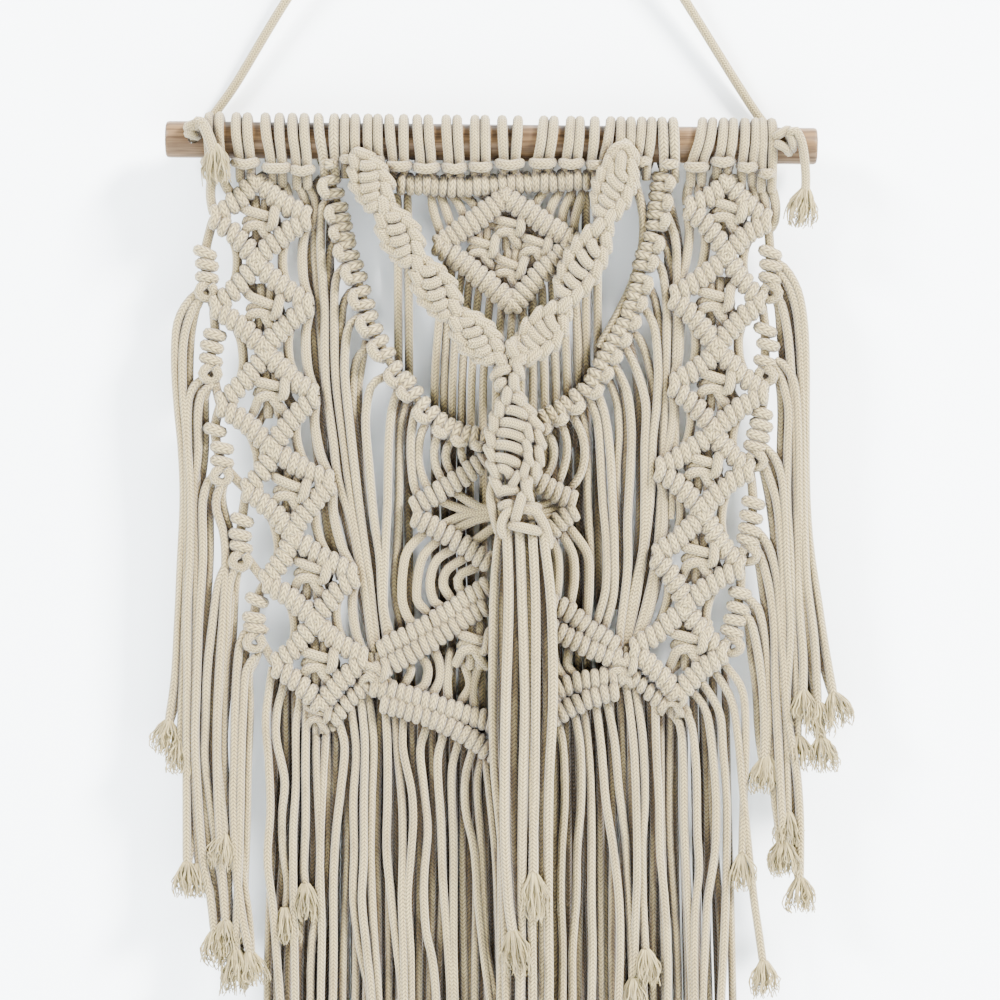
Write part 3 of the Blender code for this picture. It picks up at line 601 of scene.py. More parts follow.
def fray(cords, top, towards, width, length, count):
    """A cord's end combed out into a soft brush of fine, wavy fibres."""
    chance = cords.chance
    top = np.asarray(top, float)
    way = np.asarray(towards, float)
    way = way / np.linalg.norm(way)
    side = np.cross(way, TO_WALL)
    side /= max(np.linalg.norm(side), 1e-9)
    for _ in range(count):
        a = chance.uniform(0.0, 2 * math.pi)
        r = math.sqrt(chance.random())
        start = top - way * FIBRE_INSET + (side * math.cos(a) + TO_WALL * math.sin(a)) * r * FIBRE_INSET
        fan = (side * math.cos(a) + TO_WALL * math.sin(a) * 0.6) * r * width / 2
        reach = length * chance.uniform(0.55, 1.0)
        curl = [side * chance.uniform(-1.6, 1.6) + TO_WALL * chance.uniform(-1.2, 1.2) for _ in range(3)]
        points = [start, start + way * reach * 0.25 + fan * 0.45 + curl[0] * 0.3,
                  start + way * reach * 0.55 + fan * 0.85 + curl[1] * 0.8,
                  start + way * reach * 0.8 + fan + curl[2], start + way * reach + fan * 0.92 + curl[0]]
        path = smooth(points, reach / 6)
        cords.add(path, np.linspace(FIBRE_ROOT, FIBRE_TIP, len(path)), tone=chance.uniform(0.2, 1.0))


def hang(points, front, back, wander, chance):
    """A strand's (x, drop) points with their depth, which goes from front to back with a slight wander."""
    p = np.asarray(points, float)
    t = (p[:, 1] - p[0, 1]) / max(p[-1, 1] - p[0, 1], 1.0)
    phase = chance.uniform(0, 6.28)
    depth = front + (back - front) * t + wander * np.sin(phase + 5.0 * t) * np.minimum(1.0, 4 * t)
    return np.column_stack([p, depth])


# ---------------------------------------------------------------- materials


def node_group(name, inputs, outputs):
    """A new shader group with its named sockets, and its input and output nodes."""
    group = bpy.data.node_groups.new(name, "ShaderNodeTree")
    for socket, kind, default in inputs:
        made = group.interface.new_socket(name=socket, in_out="INPUT", socket_type=kind)
        if default is not None:
            made.default_value = default
    for socket, kind in outputs:
        group.interface.new_socket(name=socket, in_out="OUTPUT", socket_type=kind)
    return group, group.nodes.new("NodeGroupInput"), group.nodes.new("NodeGroupOutput")


def maths(tree, operation, a, b=None):
    node = tree.nodes.new("ShaderNodeMath")
    node.operation = operation
    for socket, value in zip(node.inputs, (a, b)):
        if value is None:
            continue
        if isinstance(value, (int, float)):
            socket.default_value = value
        else:
            tree.links.new(value, socket)
    return node.outputs[0]


def noise(tree, vector, scale):
    node = tree.nodes.new("ShaderNodeTexNoise")
    node.inputs["Scale"].default_value = scale
    node.inputs["Detail"].default_value = 2.0
    tree.links.new(vector, node.inputs["Vector"])
    return node.outputs[0]


def ramp(tree, value, low, high):
    """The value stretched so that low becomes 0 and high becomes 1."""
    node = tree.nodes.new("ShaderNodeMapRange")
    node.inputs["From Min"].default_value = low
    node.inputs["From Max"].default_value = high
    tree.links.new(value, node.inputs["Value"])
    return node.outputs[0]


def blend_colours(tree, mask, first, second, kind="MIX"):
    node = tree.nodes.new("ShaderNodeMix")
    node.data_type = "RGBA"
    node.blend_type = kind
    if isinstance(mask, (int, float)):
        node.inputs[0].default_value = mask
    else:
        tree.links.new(mask, node.inputs[0])
    for index, colour in ((6, first), (7, second)):
        if isinstance(colour, bpy.types.NodeSocket):
            tree.links.new(colour, node.inputs[index])
        else:
            node.inputs[index].default_value = (*colour[:3], 1.0)
    return node.outputs[2]


def attribute(tree, name):
    """The value that each point of the mesh carries under this name."""
    node = tree.nodes.new("ShaderNodeAttribute")
    node.attribute_name = name
    return node.outputs["Fac"]


def place_on_object(tree):
    return tree.nodes.new("ShaderNodeTexCoord").outputs["Object"]


def relieve(tree, shader, height, strength, distance, sunk=False):
    """Fine relief on a shader, from a height that stands out or is sunk in."""
    bump = tree.nodes.new("ShaderNodeBump")
    bump.inputs["Strength"].default_value = strength
    bump.inputs["Distance"].default_value = distance
    bump.invert = sunk
    tree.links.new(height, bump.inputs["Height"])
    tree.links.new(bump.outputs[0], shader.inputs["Normal"])


def braid_group():
    """Plaits of a braided cord, from its UV map: masks for their crowns, for specks and for soft mottling.

    The map runs along the cord, in a unit that is Length centimetres long, and once round it.
    """
    found = bpy.data.node_groups.get("Braid")
    if found:
        return found
    group, given, out = node_group(
        "Braid",
        (("UV", "NodeSocketVector", None), ("Vector", "NodeSocketVector", None),
         ("Length", "NodeSocketFloat", 1.0), ("Plaits Round", "NodeSocketFloat", 11.0),
         ("Plaits Along", "NodeSocketFloat", 6.2), ("Speck Size", "NodeSocketFloat", 10.0)),
        (("Crown", "NodeSocketFloat"), ("Specks", "NodeSocketFloat"), ("Mottle", "NodeSocketFloat")),
    )
    split = group.nodes.new("ShaderNodeSeparateXYZ")
    group.links.new(given.outputs["UV"], split.inputs[0])
    reach = maths(group, "MULTIPLY", split.outputs[0], given.outputs["Length"])
    along = maths(group, "MULTIPLY", reach, given.outputs["Plaits Along"])
    round_it = maths(group, "MULTIPLY", split.outputs[1], given.outputs["Plaits Round"])
    # The plaits lean one way on one rib and the other way on the next, as a row of Vs.
    slant = maths(group, "ADD", along, maths(group, "PINGPONG", round_it, 1.0))
    wave = maths(group, "ABSOLUTE", maths(group, "SINE", maths(group, "MULTIPLY", slant, math.pi)))
    groove = maths(group, "ABSOLUTE", maths(group, "SINE", maths(group, "MULTIPLY", round_it, math.pi)))
    crown = maths(group, "MULTIPLY", maths(group, "POWER", wave, 0.8), maths(group, "POWER", groove, 0.3))
    group.links.new(crown, out.inputs["Crown"])
    spot = group.nodes.new("ShaderNodeCombineXYZ")
    group.links.new(reach, spot.inputs[0])
    group.links.new(maths(group, "MULTIPLY", split.outputs[1], 1.6), spot.inputs[1])
    speckle = group.nodes.new("ShaderNodeTexNoise")
    speckle.inputs["Detail"].default_value = 2.0
    group.links.new(given.outputs["Speck Size"], speckle.inputs["Scale"])
    group.links.new(spot.outputs[0], speckle.inputs["Vector"])
    group.links.new(ramp(group, speckle.outputs[0], 0.60, 0.70), out.inputs["Specks"])
    group.links.new(noise(group, given.outputs["Vector"], 55.0), out.inputs["Mottle"])
    return group


def principled(name, roughness):
    """A new material with its node tree and its shader."""
    material = bpy.data.materials.new(name)
    material.use_nodes = True
    shader = material.node_tree.nodes["Principled BSDF"]
    shader.inputs["Roughness"].default_value = roughness
    shader.inputs["Specular IOR Level"].default_value = 0.2
    return material, material.node_tree, shader


def cotton_cord(name="Cotton Cord", length=1.0, plaits=(11.0, 6.2)):
    """Soft braided cotton, unbleached, with tan specks, painted shade in the grooves between its plaits and
    painted shade deep between the cords.

    Length is how many centimetres of cord its UV map takes as one, and plaits are how many of them go round
    the cord and along a centimetre of it.
    """
    found = bpy.data.materials.get(name)
    if found:
        return found
    tint = colours()
    material, tree, shader = principled(name, 0.92)
    shader.inputs["Sheen Weight"].default_value = 0.25
    shader.inputs["Sheen Roughness"].default_value = 0.6
    uv = tree.nodes.new("ShaderNodeUVMap")
    uv.uv_map = "UVMap"
    braid = tree.nodes.new("ShaderNodeGroup")
    braid.node_tree = braid_group()
    braid.inputs["Length"].default_value = length
    braid.inputs["Plaits Round"].default_value, braid.inputs["Plaits Along"].default_value = plaits
    tree.links.new(uv.outputs[0], braid.inputs["UV"])
    tree.links.new(place_on_object(tree), braid.inputs["Vector"])
    tone = maths(tree, "MULTIPLY", attribute(tree, "tone"), 0.35)
    # Painted shade: the grooves between the plaits are darkened towards the groove shade colour; the bump
    # below gives them their real relief.
    pale = blend_colours(tree, ramp(tree, braid.outputs["Crown"], 0.05, 0.92), tint.cotton_groove_shade, tint.cotton)
    warm = blend_colours(tree, tone, pale, (0.86, 0.80, 0.70), "MULTIPLY")
    soft = blend_colours(
        tree, maths(tree, "MULTIPLY", ramp(tree, braid.outputs["Mottle"], 0.35, 0.7), 0.22), warm,
        (0.80, 0.74, 0.63), "MULTIPLY",
    )
    speckled = blend_colours(tree, maths(tree, "MULTIPLY", braid.outputs["Specks"], 0.6), soft, tint.speck)
    # Painted shade and shadow: the colour is multiplied down where the cords lie deep between others or
    # behind them.
    dark = blend_colours(tree, attribute(tree, "crease_shade"), speckled, tint.crease_shade, "MULTIPLY")
    tree.links.new(dark, shader.inputs["Base Color"])
    relieve(tree, shader, braid.outputs["Crown"], 0.8, 0.0006)
    return material


def cotton_strand():
    """The same cord where it hangs free and is drawn out thinner, so its plaits look longer."""
    return cotton_cord("Cotton Strand", plaits=(8.0, 4.9))


def hanging_cord_look():
    """The hanging cord's cotton: its plaits follow the curve's own UV map, which runs 0 to 1 along it."""
    return cotton_cord("Hanging Cord", length=62.0)


def fibre():
    """The loose fibres of a combed-out end, from pale to dark."""
    found = bpy.data.materials.get("Cotton Fibre")
    if found:
        return found
    tint = colours()
    material, tree, shader = principled("Cotton Fibre", 0.95)
    shader.inputs["Sheen Weight"].default_value = 0.3
    tone = attribute(tree, "tone")
    patch = noise(tree, place_on_object(tree), 260.0)
    mask = maths(tree, "MULTIPLY", maths(tree, "ADD", tone, patch), 0.5)
    # The fibres take random tones between the cotton and the dark colour of its painted groove shade.
    tree.links.new(blend_colours(tree, mask, tint.cotton_groove_shade, tint.cotton), shader.inputs["Base Color"])
    return material


def grain_group():
    """Long grain of wood along X, with fine pores."""
    found = bpy.data.node_groups.get("Grain")
    if found:
        return found
    group, given, out = node_group(
        "Grain",
        (("Vector", "NodeSocketVector", None), ("Stretch", "NodeSocketFloat", 22.0),
         ("Scale", "NodeSocketFloat", 700.0)),
        (("Lines", "NodeSocketFloat"), ("Pores", "NodeSocketFloat"), ("Bands", "NodeSocketFloat")),
    )
    split = group.nodes.new("ShaderNodeSeparateXYZ")
    group.links.new(given.outputs["Vector"], split.inputs[0])
    join = group.nodes.new("ShaderNodeCombineXYZ")
    group.links.new(maths(group, "DIVIDE", split.outputs[0], given.outputs["Stretch"]), join.inputs[0])
    group.links.new(split.outputs[1], join.inputs[1])
    group.links.new(split.outputs[2], join.inputs[2])
    lines = group.nodes.new("ShaderNodeTexNoise")
    lines.inputs["Detail"].default_value = 5.0
    lines.inputs["Distortion"].default_value = 0.4
    group.links.new(given.outputs["Scale"], lines.inputs["Scale"])
    group.links.new(join.outputs[0], lines.inputs["Vector"])
    group.links.new(ramp(group, lines.outputs[0], 0.38, 0.66), out.inputs["Lines"])
    fine = noise(group, join.outputs[0], 1500.0)
    group.links.new(ramp(group, fine, 0.6, 0.72), out.inputs["Pores"])
    group.links.new(ramp(group, noise(group, join.outputs[0], 70.0), 0.35, 0.65), out.inputs["Bands"])
    return group


def dowel_wood():
    """Dull, worn wood with dark grain and open pores."""
    found = bpy.data.materials.get("Dowel Wood")
    if found:
        return found
    tint = colours()
    material, tree, shader = principled("Dowel Wood", 0.5)
    shader.inputs["Specular IOR Level"].default_value = 0.15
    grain = tree.nodes.new("ShaderNodeGroup")
    grain.node_tree = grain_group()
    tree.links.new(place_on_object(tree), grain.inputs["Vector"])
    body = blend_colours(tree, grain.outputs["Bands"], tint.wood, [c * 0.72 for c in tint.wood])
    lined = blend_colours(tree, maths(tree, "MULTIPLY", grain.outputs["Lines"], 0.85), body, tint.wood_dark)
    pored = blend_colours(tree, maths(tree, "MULTIPLY", grain.outputs["Pores"], 0.5), lined, tint.wood_dark)
    tree.links.new(pored, shader.inputs["Base Color"])
    tree.links.new(ramp(tree, grain.outputs["Lines"], -1.0, 2.2), shader.inputs["Roughness"])
    relieve(tree, shader, grain.outputs["Pores"], 0.1, 0.0003, True)
    return material


def plain_stage(name, colour, see_through):
    """A plain colour, clear from behind where a view from the back has to look through it."""
    material, tree, shader = principled(name, 0.9)
    shader.inputs["Base Color"].default_value = (*colour, 1.0)
    shader.inputs["Specular IOR Level"].default_value = 0.1
    if see_through:
        facing = tree.nodes.new("ShaderNodeNewGeometry")
        clear = tree.nodes.new("ShaderNodeBsdfTransparent")
        pick = tree.nodes.new("ShaderNodeMixShader")
        tree.links.new(facing.outputs["Backfacing"], pick.inputs[0])
        tree.links.new(shader.outputs[0], pick.inputs[1])
        tree.links.new(clear.outputs[0], pick.inputs[2])
        tree.links.new(pick.outputs[0], tree.nodes["Material Output"].inputs["Surface"])
    return material


# ---------------------------------------------------------------- the stage


def stage_sheet(name, corners, material):
    """One flat sheet of the stage."""
    mesh = bpy.data.meshes.new(name)
    shape = bmesh.new()
    shape.faces.new([shape.verts.new(c) for c in corners])
    shape.to_mesh(mesh)
    shape.free()
    mesh.materials.append(material)
    sheet = put(name, mesh)


def area_light(name, spot, target, wide, watts, colour):
    lamp = bpy.data.lights.new(name, "AREA")
    lamp.shape = "RECTANGLE"
    lamp.size = lamp.size_y = wide
    lamp.energy = watts
    lamp.color = colour
    light = put(name, lamp)
    light.location = spot
    light.rotation_euler = (Vector(target) - Vector(spot)).to_track_quat("-Z", "Y").to_euler()


# The stage, in metres: half the sheets' width, the wall's top, how far the floor reaches and lies below.
STAGE_HALF, WALL_TOP, FLOOR_REACH, FLOOR_GAP = 2.5, 1.6, 3.2, 0.12
# What the camera looks at lies this far below the dowel; it stands this far off and takes in this width.
VIEW_DROP, VIEW_DISTANCE, VIEW_WIDTH = 188.0, 1.7, 0.525
SENSOR = 36.0


def build_stage():
    tint = colours()
    back = sizes().wall_gap
    floor = CAD_BOX[0][2] - FLOOR_GAP
    half, reach = STAGE_HALF, FLOOR_REACH
    wall = [(-half, back, floor), (half, back, floor), (half, back, WALL_TOP), (-half, back, WALL_TOP)]
    ground = [(-half, -reach, floor), (half, -reach, floor), (half, reach, floor), (-half, reach, floor)]
    stage_sheet("stage_wall", wall, plain_stage("Stage Wall", tint.wall, True))
    stage_sheet("stage_floor", ground, plain_stage("Stage Floor", tint.wall, False))
    middle = (0.0005, -0.004, -(HOOK_HEIGHT + VIEW_DROP) * MM)
    area_light("key", (2.2, -1.7, 1.7), middle, 0.8, 900.0, (1.0, 0.98, 0.945))
    area_light("fill", (-2.3, -1.7, 1.3), middle, 0.9, 420.0, (0.97, 0.985, 1.0))
    world = bpy.data.worlds.new("Studio")
    world.use_nodes = True
    world.node_tree.nodes["Background"].inputs["Color"].default_value = (0.86, 0.92, 1.0, 1.0)
    world.node_tree.nodes["Background"].inputs["Strength"].default_value = 0.3
    bpy.context.scene.world = world
    lens = bpy.data.cameras.new("Camera")
    lens.sensor_width = SENSOR
    lens.lens = SENSOR * VIEW_DISTANCE / VIEW_WIDTH
    camera = put("Camera", lens)
    camera.location = (middle[0], middle[1] - VIEW_DISTANCE, middle[2])
    camera.rotation_euler = (math.pi / 2, 0.0, 0.0)
    bpy.context.scene.camera = camera


# ---------------------------------------------------------------- the hanging cord and the dowel


def hanger_route():
    """The hanging cord's way: back through the left hole, over the nail and forward through the right one."""
    left, right = dowel_drop(HOLE_LEFT_X), dowel_drop(HOLE_RIGHT_X)
    return [
        (-160, left, -9.3), (-160, left, 4), (-160, -1.8, 12.5), (-158.6, -6.5, 17.6), (-153, -15, 18.4),
        (-140, -33, 17), (-113.5, -76, 13.4), (-83, -120, 9.6), (-49.5, -162, 5.6), (-25, -191, 2.8),
        (-12.4, -206.5, 1), (-5.8, -216.5, 0), (0, -220.5, 0), (5.8, -216.5, 0), (12, -206.5, 1),
        (23, -190.5, 2.8),
        (44, -160, 5.6), (72, -118, 9.6), (99.3, -76, 13.4), (126, -34, 17), (139.5, -14, 18.4),
        (149.5, -4, 17.6), (153, 0.6, 12.5), (153, right, 4), (153, right, -9.3),
    ]


def stopper(cords, turns, tail, cord):
    """The knot in front of the dowel that stops the hanging cord from slipping back, and its short tail."""
    for x, drop, y, half, tilt in turns:
        middle = np.array((x, drop, y))
        way = np.array((math.cos(tilt), math.sin(tilt), 0.0)) * half
        pill(cords, middle - way, middle + way, 1.2, 4.0, cord)
    cords.line(tail, cord, TAIL_STEP)


# The stopper knots' turns as their middle, half length and tilt, and the routes of the tails below them.
STOPPER_LEFT = ((-160.6, -7.6, -13.8, 2.4, -0.35), (-160.2, -3.2, -13.0, 2.4, 0.25))
TAIL_LEFT = ((-159.5, -6, -14.5), (-157.2, -9.5, -17), (-153.6, -7, -18.6), (-150.3, 0, -19.2),
             (-147.8, 8, -18.8))
LOOP_LEFT = ((-157.5, -6, -15), (-154.6, -7.5, -18.4), (-151.8, -2, -20), (-149.6, 5, -19.8),
             (-148.6, 9, -19))
PLY_LEFT = ((-157.4, -10.4, -14), (-153.6, -8.4, -17.4), (-150.8, -2, -18.4), (-148.4, 6, -18.4),
            (-147.8, 9, -18))
STOPPER_RIGHT = ((147.4, -3.4, -13.6, 4.4, -0.55), (147.8, 3.4, -13.4, 4.4, 0.5),
                 (152.8, 0.6, -14.6, 3.4, 1.35))
TAIL_RIGHT = ((151.5, -3, -15.6), (154.6, -4.4, -17), (157.6, 1, -15.6), (159.4, 9, -12.8),
              (160.4, 19, -11.0),
              (160.2, 28, -10.4))
TAIL_STEP = 2.4
TAIL_BRUSH_WIDTH, TAIL_FIBRES = 12.5, 110


def build_hanger():
    """The hanging cord, its two stopper knots and its combed-out tails."""
    where = place(smooth(hanger_route(), 4.0))
    curve = cord_curve("hanging_cord", sizes().cord_diameter / 2, 3)
    add_spline(curve, where)
    curve.materials.append(hanging_cord_look())
    piece = put("hanging_cord", curve)
    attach(piece, "root")
    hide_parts("hanger_cord")
    left, right = Cords(11), Cords(12)
    hole_left, hole_right = ((x, dowel_drop(x), -9.5) for x in (HOLE_LEFT_X, HOLE_RIGHT_X))
    stopper(left, STOPPER_LEFT, (hole_left, *TAIL_LEFT), 2.6)
    left.line(LOOP_LEFT, 2.6, TAIL_STEP)
    left.line(PLY_LEFT, 2.2, TAIL_STEP)
    stopper(right, STOPPER_RIGHT, (hole_right, *TAIL_RIGHT), 2.5)
    ends = [
        cord_piece("hanging_knot_left", left, cotton_cord(), ("hanger_end_left",)),
        cord_piece("hanging_knot_right", right, cotton_cord(), ("hanger_end_right",)),
    ]
    for name, seed, top, end in (
        ("hanging_fray_left", 13, (-147.6, 5, -18.6), (-145.4, 26, -15.5)),
        ("hanging_fray_right", 14, (160.2, 27, -10.4), (157.2, 48, -9.6)),
    ):
        tuft = Cords(seed)
        down = np.subtract(end, top)
        fray(tuft, top, down, TAIL_BRUSH_WIDTH, float(np.linalg.norm(down)), TAIL_FIBRES)
        ends.append(cord_piece(name, tuft, fibre(), (), 0))


# The dowel's eased ends: how far in from the end, and the share of its thickness there.
EASED_END = ((0.0, 0.90), (0.5, 0.965), (1.6, 1.0))
DOWEL_RINGS, RING_INSET = 12, 12


def dowel_shape():
    """A round dowel with eased ends, level and not yet bored."""
    shape = bmesh.new()
    bmesh.ops.create_circle(shape, cap_ends=False, segments=64, radius=DOWEL_RADIUS * MM)
    ring = shape.edges[:]
    bmesh.ops.rotate(shape, verts=shape.verts, cent=(0, 0, 0), matrix=Matrix.Rotation(math.pi / 2, 3, "Y"))
    profile = [(DOWEL_LEFT + inset, size) for inset, size in EASED_END]
    profile += [(x, 1.0) for x in np.linspace(DOWEL_LEFT + RING_INSET, DOWEL_RIGHT - RING_INSET, DOWEL_RINGS)]
    profile += [(DOWEL_RIGHT - inset, size) for inset, size in EASED_END[::-1]]
    end, last_size = profile[0]
    for v in shape.verts:
        v.co = Vector((end * MM, v.co.y * last_size, v.co.z * last_size))
    for x, size in profile[1:]:
        made = bmesh.ops.extrude_edge_only(shape, edges=ring)["geom"]
        verts = [g for g in made if isinstance(g, bmesh.types.BMVert)]
        edges = [g for g in made if isinstance(g, bmesh.types.BMEdge)]
        ring = [e for e in edges if e.verts[0] in verts and e.verts[1] in verts]
        for v in verts:
            v.co = Vector((x * MM, v.co.y * size / last_size, v.co.z * size / last_size))
        last_size = size
    bmesh.ops.holes_fill(shape, edges=[e for e in shape.edges if e.is_boundary], sides=0)
    bmesh.ops.recalc_face_normals(shape, faces=shape.faces)
    return shape


def build_dowel():
    """The wooden dowel, tilted a little as it hangs, with its two bored holes."""
    shape = dowel_shape()
    bmesh.ops.rotate(
        shape, verts=shape.verts, cent=(DOWEL_MIDDLE_X * MM, 0, 0), matrix=Matrix.Rotation(DOWEL_TILT, 3, "Y")
    )
    bmesh.ops.translate(shape, verts=shape.verts, vec=(0, 0, -HOOK_HEIGHT * MM))
    mesh = bpy.data.meshes.new("wooden_dowel")
    shape.to_mesh(mesh)
    shape.free()
    mesh.materials.append(dowel_wood())
    piece = put("wooden_dowel", mesh)
    for x in (HOLE_LEFT_X, HOLE_RIGHT_X):
        bore = bmesh.new()
        bmesh.ops.create_cone(
            bore, cap_ends=True, segments=24, radius1=HOLE_RADIUS * MM, radius2=HOLE_RADIUS * MM, depth=0.05
        )
        bmesh.ops.rotate(bore, verts=bore.verts, cent=(0, 0, 0), matrix=Matrix.Rotation(math.pi / 2, 3, "X"))
        bmesh.ops.translate(bore, verts=bore.verts, vec=place([(x, dowel_drop(x), 0)])[0])
        cutter_mesh = bpy.data.meshes.new("bore")
        bore.to_mesh(cutter_mesh)
        bore.free()
        cutter = put("bore", cutter_mesh)
        cut = piece.modifiers.new("bore", "BOOLEAN")
        cut.operation, cut.object, cut.solver = "DIFFERENCE", cutter, "EXACT"
        graph = bpy.context.evaluated_depsgraph_get()
        cut_mesh = bpy.data.meshes.new_from_object(piece.evaluated_get(graph))
        piece.modifiers.clear()
        piece.data = cut_mesh
        bpy.data.objects.remove(cutter)
    piece.data.shade_smooth()
    piece.data.set_sharp_from_angle(angle=math.radians(40))
    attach(piece, "root")
    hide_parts("dowel")


# ---------------------------------------------------------------- side panels

# Each diamond: its top, left, right and bottom corners and the middle of its square knot.
DIAMONDS_LEFT = (
    ((-127, 20), (-150, 40), (-99.8, 40.4), (-127, 62.5), (-125, 42)),
    ((-127, 63.5), (-150, 87), (-98.7, 86), (-122.9, 108.7), (-122.9, 88.2)),
    ((-121.8, 110.3), (-146.5, 138), (-96, 133.4), (-119.7, 160.7), (-119.2, 131.3)),
    ((-118.1, 161.7), (-132.8, 182.7), (-87.2, 178.5), (-108.7, 205.3), (-108.7, 183.8)),
    ((-107.6, 207.4), (-122.9, 231), (-75, 227.3), (-96.6, 251), (-97.7, 226.8)),
    ((-96.6, 252), (-117.6, 274.6), (-69.8, 271.4), (-94, 296.1), (-94, 273.5)),
)
DIAMONDS_RIGHT = (
    ((119.7, 21), (98.7, 34.7), (141.2, 42), (119.7, 58.8), (120.2, 37.8)),
    ((119.2, 59.9), (90.8, 81.4), (138, 84), (114, 108), (113.4, 84.5)),
    ((115, 109.2), (90.3, 127.6), (139.7, 131.8), (112.9, 151.2), (113.9, 127.6)),
    ((111.8, 152.3), (83, 172.2), (131.8, 172.2), (105.5, 193.2), (107.1, 171.2)),
    ((107.1, 194.8), (81.9, 217.4), (127, 223.1), (98.2, 243.1), (105.5, 218.4)),
    ((97.1, 244.7), (69.3, 266.7), (118.1, 267.8), (93.5, 290.3), (99.8, 263.6)),
)
# Stacks of wraps at the panels' outer edges, each from its top wrap down.
PICOTS_LEFT = (
    ((-154.3, 58.3), (-153.3, 64.6), (-153.3, 71.4)), ((-149.1, 101.3), (-150.7, 107.6), (-151.2, 114.5)),
    ((-149.1, 151.2), (-145.4, 160.7), (-145.4, 168)), ((-134.9, 198.5), (-136, 206.3), (-135.5, 212.6)),
    ((-127.1, 240.5), (-128.6, 249.9), (-128.1, 255.2)),
)
PICOTS_RIGHT = (
    ((142.3, 58.3), (142.8, 65.1), (142.3, 72)), ((139.7, 98.7), (141.2, 106.6), (139.7, 115.5)),
    ((137.6, 142.3), (137.6, 148.6), (136, 154.4), (134.4, 160.1)),
    ((133.4, 189.5), (132.3, 196.9), (131.8, 203.7), (130.7, 209.5)),
    ((126.5, 236.8), (125.5, 244.7), (123.9, 251), (122.3, 257.3)),
)
# Lark's heads on the dowel: where each turn passes over it, the left and right ends of the bar, and its drop.
LARKS_LEFT = ((-152.3, -147, -156, -141, 12), (-138.1, -132.3, -140.2, -125.5, 12.1),
              (-122.9, -115.5, -123.9, -108.7, 14.7), (-108.7, -102.4, -109.7, -96.6, 15.8))
LARKS_RIGHT = ((107.1, 112.4, 97.1, 109.7, 14.2), (118.1, 123.1, 110.8, 123.4, 11.3),
               (129.2, 134.9, 124.4, 135.5, 14.2), (138.1, 143.3, 135.5, 144.9, 17.6))

# Cords that feed the panels' first diamonds from the bars above.
FEEDS_LEFT = (
    ((-151, 19), (-151.5, 28), (-150, 38)), ((-145, 19), (-143, 24), (-139, 29)),
    ((-135, 20), (-134, 24), (-133, 27)), ((-129, 20), (-128, 21), (-127, 23)),
    ((-119, 21), (-118, 23), (-119, 27)), ((-113.5, 21), (-111.5, 25), (-110.5, 31)),
    ((-105.5, 22), (-102.5, 29), (-100.5, 38)), ((-100.5, 22), (-96.5, 30), (-96.8, 40), (-99, 46)),
)
FEEDS_RIGHT = (
    ((100.5, 20), (99, 26), (98.5, 33)), ((106, 20), (104.5, 25), (105.5, 29)),
    ((114, 17), (112.5, 21), (113, 25)), ((119.7, 17), (119.7, 20), (119.7, 22)),
    ((127.5, 20), (127, 24), (128, 28)), ((132.5, 20), (134, 26), (134.5, 34)),
    ((138, 23), (139.5, 31), (140.5, 40)), ((143, 23), (145.2, 33), (144.5, 42), (141.5, 47)),
)
PANEL_CORD, PANEL_STEP = 2.6, 3.4
ARM_BOW, ARM_TOP_DEPTH, ARM_LOW_DEPTH = 1.5, -6.2, -6.8
# Radius of a hitch round its holding cord and of the hitching cord itself, in the panels.
PANEL_RING, PANEL_HITCH_CORD = 3.3, 2.9
# Where the four cords of a diamond's knot meet its arms: share of the arm, then x and drop from the knot.
KNOT_LEGS = ((0.35, (-3.0, -13.0)), (0.35, (3.0, -13.0)), (0.65, (-4.0, 12.5)), (0.65, (4.0, 12.5)))
# The loop that ends a stack of wraps, from its last wrap: x towards the inner edge, drop, and depth.
PICOT_LOOP = ((3, 2, -5), (-3, 5, -8), (-4, 9, -7), (1, 11, -5.5), (4, 7.5, -6.5), (2, 3.5, -8))


def between(a, b, t, bow=0.0):
    """The point a share t of the way from a to b, pushed sideways by bow."""
    a, b = np.asarray(a, float), np.asarray(b, float)
    way = b - a
    side = np.array((way[1], -way[0])) / max(np.linalg.norm(way), 1e-9)
    return a + way * t + side * bow


def bowed(start, end, bow):
    """A line from start to end that bows out sideways between them."""
    return [start, between(start, end, 0.3, bow), between(start, end, 0.7, bow), end]


def arm(cords, start, end, bow, y, ring=PANEL_RING, cord=PANEL_HITCH_CORD, pitch=None, lean=0.36, trim=0.06):
    """One hitched side of a diamond."""
    pitch = pitch or MM_PER_M * sizes().small_pitch
    line = [between(start, end, t, bow * math.sin(math.pi * t)) for t in (trim, 0.35, 0.65, 1 - trim)]
    hitches(cords, at_depth(line, y), pitch, ring, cord, lean)


